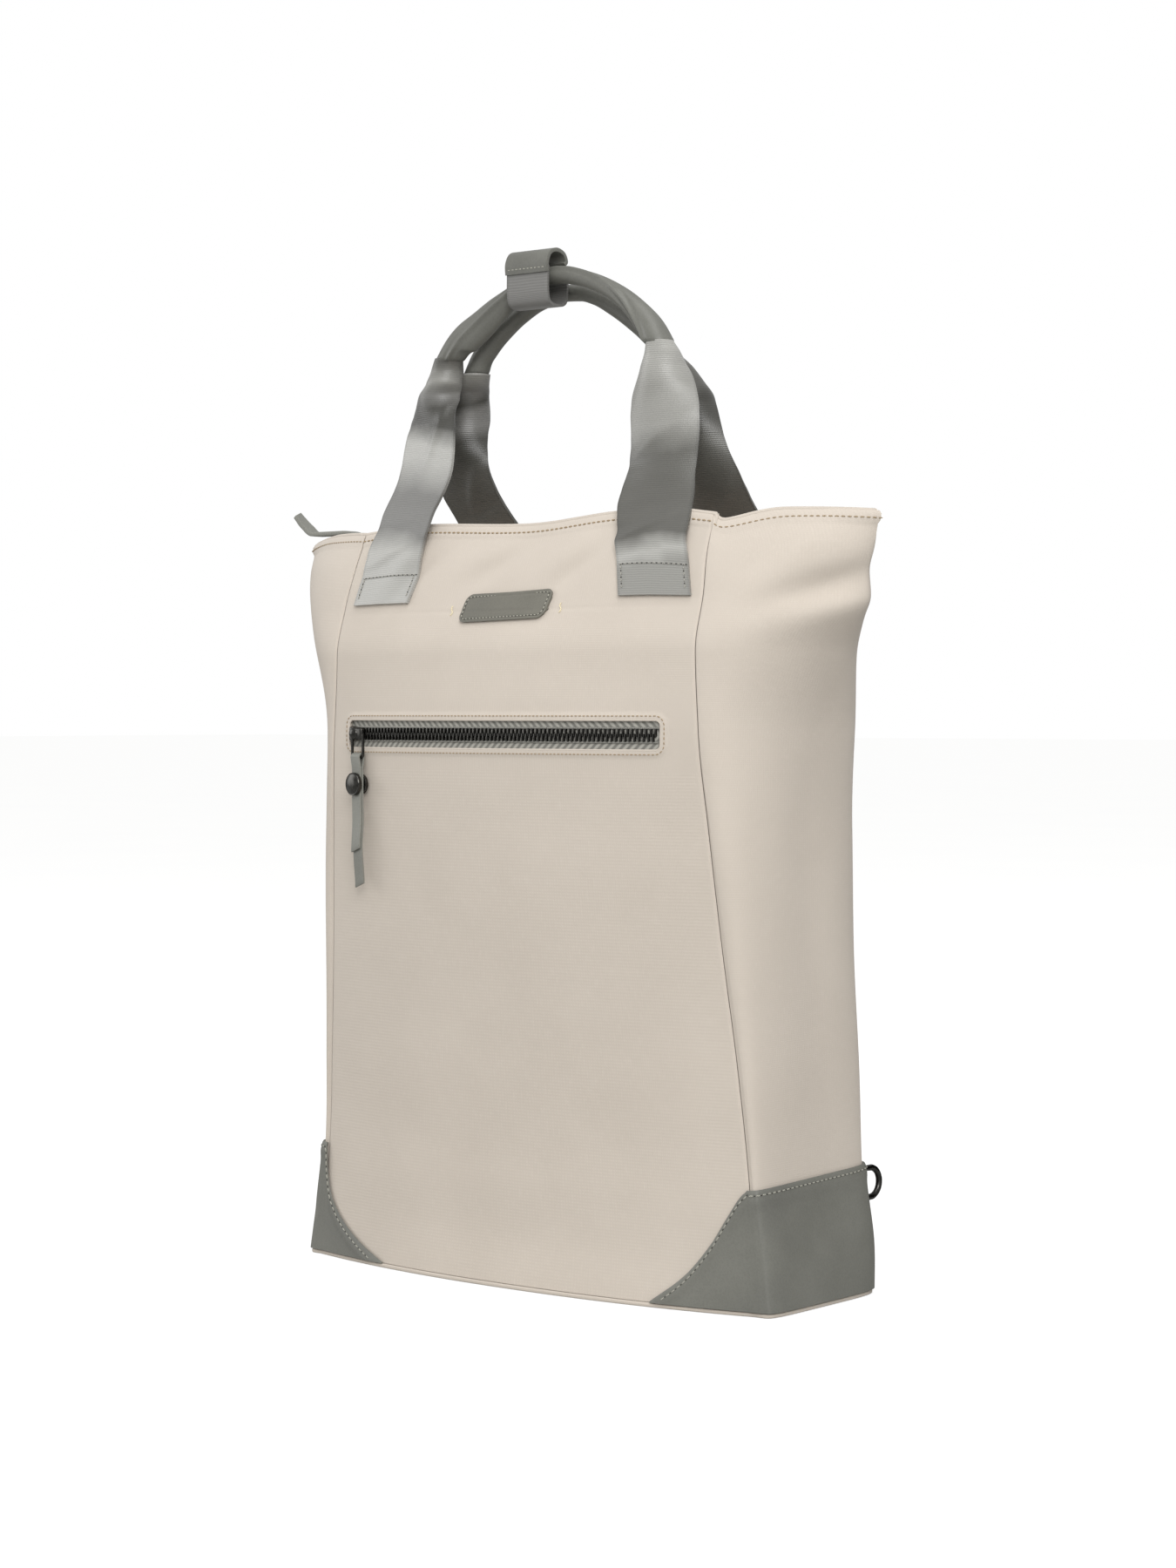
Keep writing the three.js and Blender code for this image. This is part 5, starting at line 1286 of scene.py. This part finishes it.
# RINGS AND TABS
# D-rings of polished gunmetal wire at the lower back corners, each with its straight bar in the
# sleeve of a webbing tab. The shoulder straps clip to them.
RING_WIRE, RING_TALL, RING_DEEP, RING_HEIGHT, RING_INSET, RING_SLACK = (
    0.0034, 0.012, 0.016, 0.054, 0.0032, 0.0004)
TAB_THICKNESS, TAB_LENGTH = 0.0015, 0.017
SLEEVE = RING_WIRE / 2 + RING_SLACK
for name, side in (("right", 1), ("left", -1)):
    x = side * (section_at(RING_HEIGHT)["seam"] - RING_INSET)
    step = 0.001
    plain = lambda px: section_at(RING_HEIGHT)["back"] + section_at(RING_HEIGHT)["back_bow"] * (
        1 - (px / section_at(RING_HEIGHT)["seam"]) ** 2)
    slope = (plain(x) - plain(x - side * step)) / step
    seat = Vector((x, plain(x) + 2 * GAP + SLEEVE + TAB_THICKNESS, RING_HEIGHT))
    corner_frame = Matrix.Translation(seat) @ Matrix.Rotation(side * math.atan(slope), 4, "Z")
    half = (RING_TALL + RING_WIRE) / 2
    legs = RING_DEEP - half + RING_WIRE / 2
    bend = [Vector((0, legs + half * math.sin(t * math.pi), half * math.cos(t * math.pi)))
            for t in (i / 32 for i in range(33))]
    line = [Vector((0, 0, half))] + bend + [Vector((0, 0, -half))]
    tube(f"d_ring_{name}_wire", [corner_frame @ p for p in line], RING_WIRE / 2, gunmetal, "gunmetal",
         f"d_ring_{name}", closed=True, body=f"ring_{name}")
    outer = SLEEVE + TAB_THICKNESS / 2
    path = [(-TAB_LENGTH + i * 0.001, -outer + TAB_THICKNESS * 1.0) for i in range(14)]
    path += [(outer * math.sin(math.radians(a)), -outer * math.cos(math.radians(a)))
             for a in range(0, 226, 9)]

    def tab_place(u, v):
        along, y = on_line(path, v)
        along *= side
        z = (u - 0.5) * (RING_TALL - 2 * RING_SLACK)
        return corner_frame @ Vector((along, y, z))

    tab = grid(f"ring_tab_{name}_satin", 12, 60, tab_place, (0.0112, 0.03))
    modify(tab, "SOLIDIFY", thickness=TAB_THICKNESS * 0.9, offset=0)
    modify(tab, "BEVEL", width=0.0003, segments=2, limit_method="ANGLE", angle_limit=math.radians(60))
    settle(tab, webbing_look, "strap_webbing", f"ring_tab_{name}")

# STUDIO
# A plain pale floor in a white surround, with a broad key light by the camera and a softer one above.
# The camera stands at the photograph's angle. Only what it sees of floor and surround is lifted to
# white, so that their own light on the bag stays gentle.
FLOOR_LIFT, SURROUND_LEVEL = 0.68, 0.58
floor_look, tree, shader = material("studio_floor_paint")
grain = noise(tree, node(tree, "TexCoord").outputs["Object"], 3.0)
lift = sums(tree, "MULTIPLY", node(tree, "LightPath").outputs["Is Camera Ray"], FLOOR_LIFT)
fill(tree, shader, {"Base Color": ramp(tree, grain, (0.3, "bcbcbb"), (0.7, "bebebc")), "Roughness": 0.9,
                    "Specular IOR Level": 0.0, "Emission Color": colour("ffffff"),
                    "Emission Strength": lift})
choose()
bpy.ops.mesh.primitive_plane_add(size=60, location=(0, 0, -0.0002))
floor = bpy.context.object
floor.name = "studio_floor"
floor.data.materials.append(floor_look)

world = bpy.data.worlds.new("studio_surround")
bpy.context.scene.world = world
world.use_nodes = True
surround = world.node_tree.nodes["Background"]
surround.inputs["Color"].default_value = colour("ffffff")
seen = node(world.node_tree, "LightPath").outputs["Is Camera Ray"]
bright = node(world.node_tree, "MapRange", {"Value": seen, "To Min": SURROUND_LEVEL, "To Max": 1.0})
world.node_tree.links.new(bright.outputs["Result"], surround.inputs["Strength"])


def soft_light(name, place, aim, wide, tall, power):
    """A studio light, wide by tall, turned to its aim."""
    lamp = bpy.data.lights.new(name, "AREA")
    lamp.shape = "RECTANGLE"
    lamp.size, lamp.size_y = wide, tall
    lamp.energy = power
    holder = bpy.data.objects.new(name, lamp)
    holder.location = place
    holder.rotation_euler = (Vector(aim) - Vector(place)).to_track_quat("-Z", "Y").to_euler()
    bpy.context.scene.collection.objects.link(holder)


soft_light("key_light", (1.9, -1.9, 1.8), (0, 0, 0.25), 1.5, 1.5, 55)
soft_light("top_light", (0.6, -0.6, 2.6), (0, 0, 0.25), 1.4, 1.4, 17)
soft_light("left_fill", (-2.2, -0.9, 0.8), (0, 0, 0.2), 1.2, 1.2, 12)

# A dark card stands out of sight at the right, and shades the foot of the bag's far side
card_look, tree, shader = material("studio_card_felt")
fibre = noise(tree, node(tree, "TexCoord").outputs["Object"], 60.0)
fill(tree, shader, {"Base Color": ramp(tree, fibre, (0.3, "121212"), (0.7, "181818")),
                    "Roughness": 0.95})
choose()
bpy.ops.mesh.primitive_plane_add(size=1, location=(0.216, 0.478, 0.2),
                                 rotation=(math.pi / 2, 0, math.radians(129.1)))
card = bpy.context.object
card.name = "studio_card"
card.scale = (0.6, 0.4, 1)
card.data.materials.append(card_look)
card.visible_camera = False

CAMERA_TURN, CAMERA_DISTANCE, CAMERA_RIGHT, CAMERA_HEIGHT, CAMERA_PITCH, CAMERA_LENS = (
    math.radians(39.1), 1.7156, 0.002, 0.300, math.radians(1.28), 2.045)
ahead = Vector((-math.sin(CAMERA_TURN), math.cos(CAMERA_TURN), 0))
right = Vector((math.cos(CAMERA_TURN), math.sin(CAMERA_TURN), 0))
camera_data = bpy.data.cameras.new("camera")
camera_data.sensor_width = 36
camera_data.lens = CAMERA_LENS * camera_data.sensor_width
camera = bpy.data.objects.new("camera", camera_data)
camera.location = right * CAMERA_RIGHT - ahead * CAMERA_DISTANCE + Vector((0, 0, CAMERA_HEIGHT))
camera.rotation_euler = (math.pi / 2 - CAMERA_PITCH, 0, CAMERA_TURN)
bpy.context.scene.collection.objects.link(camera)
bpy.context.scene.camera = camera
bpy.context.scene.view_settings.view_transform = "Standard"

bpy.context.view_layer.update()
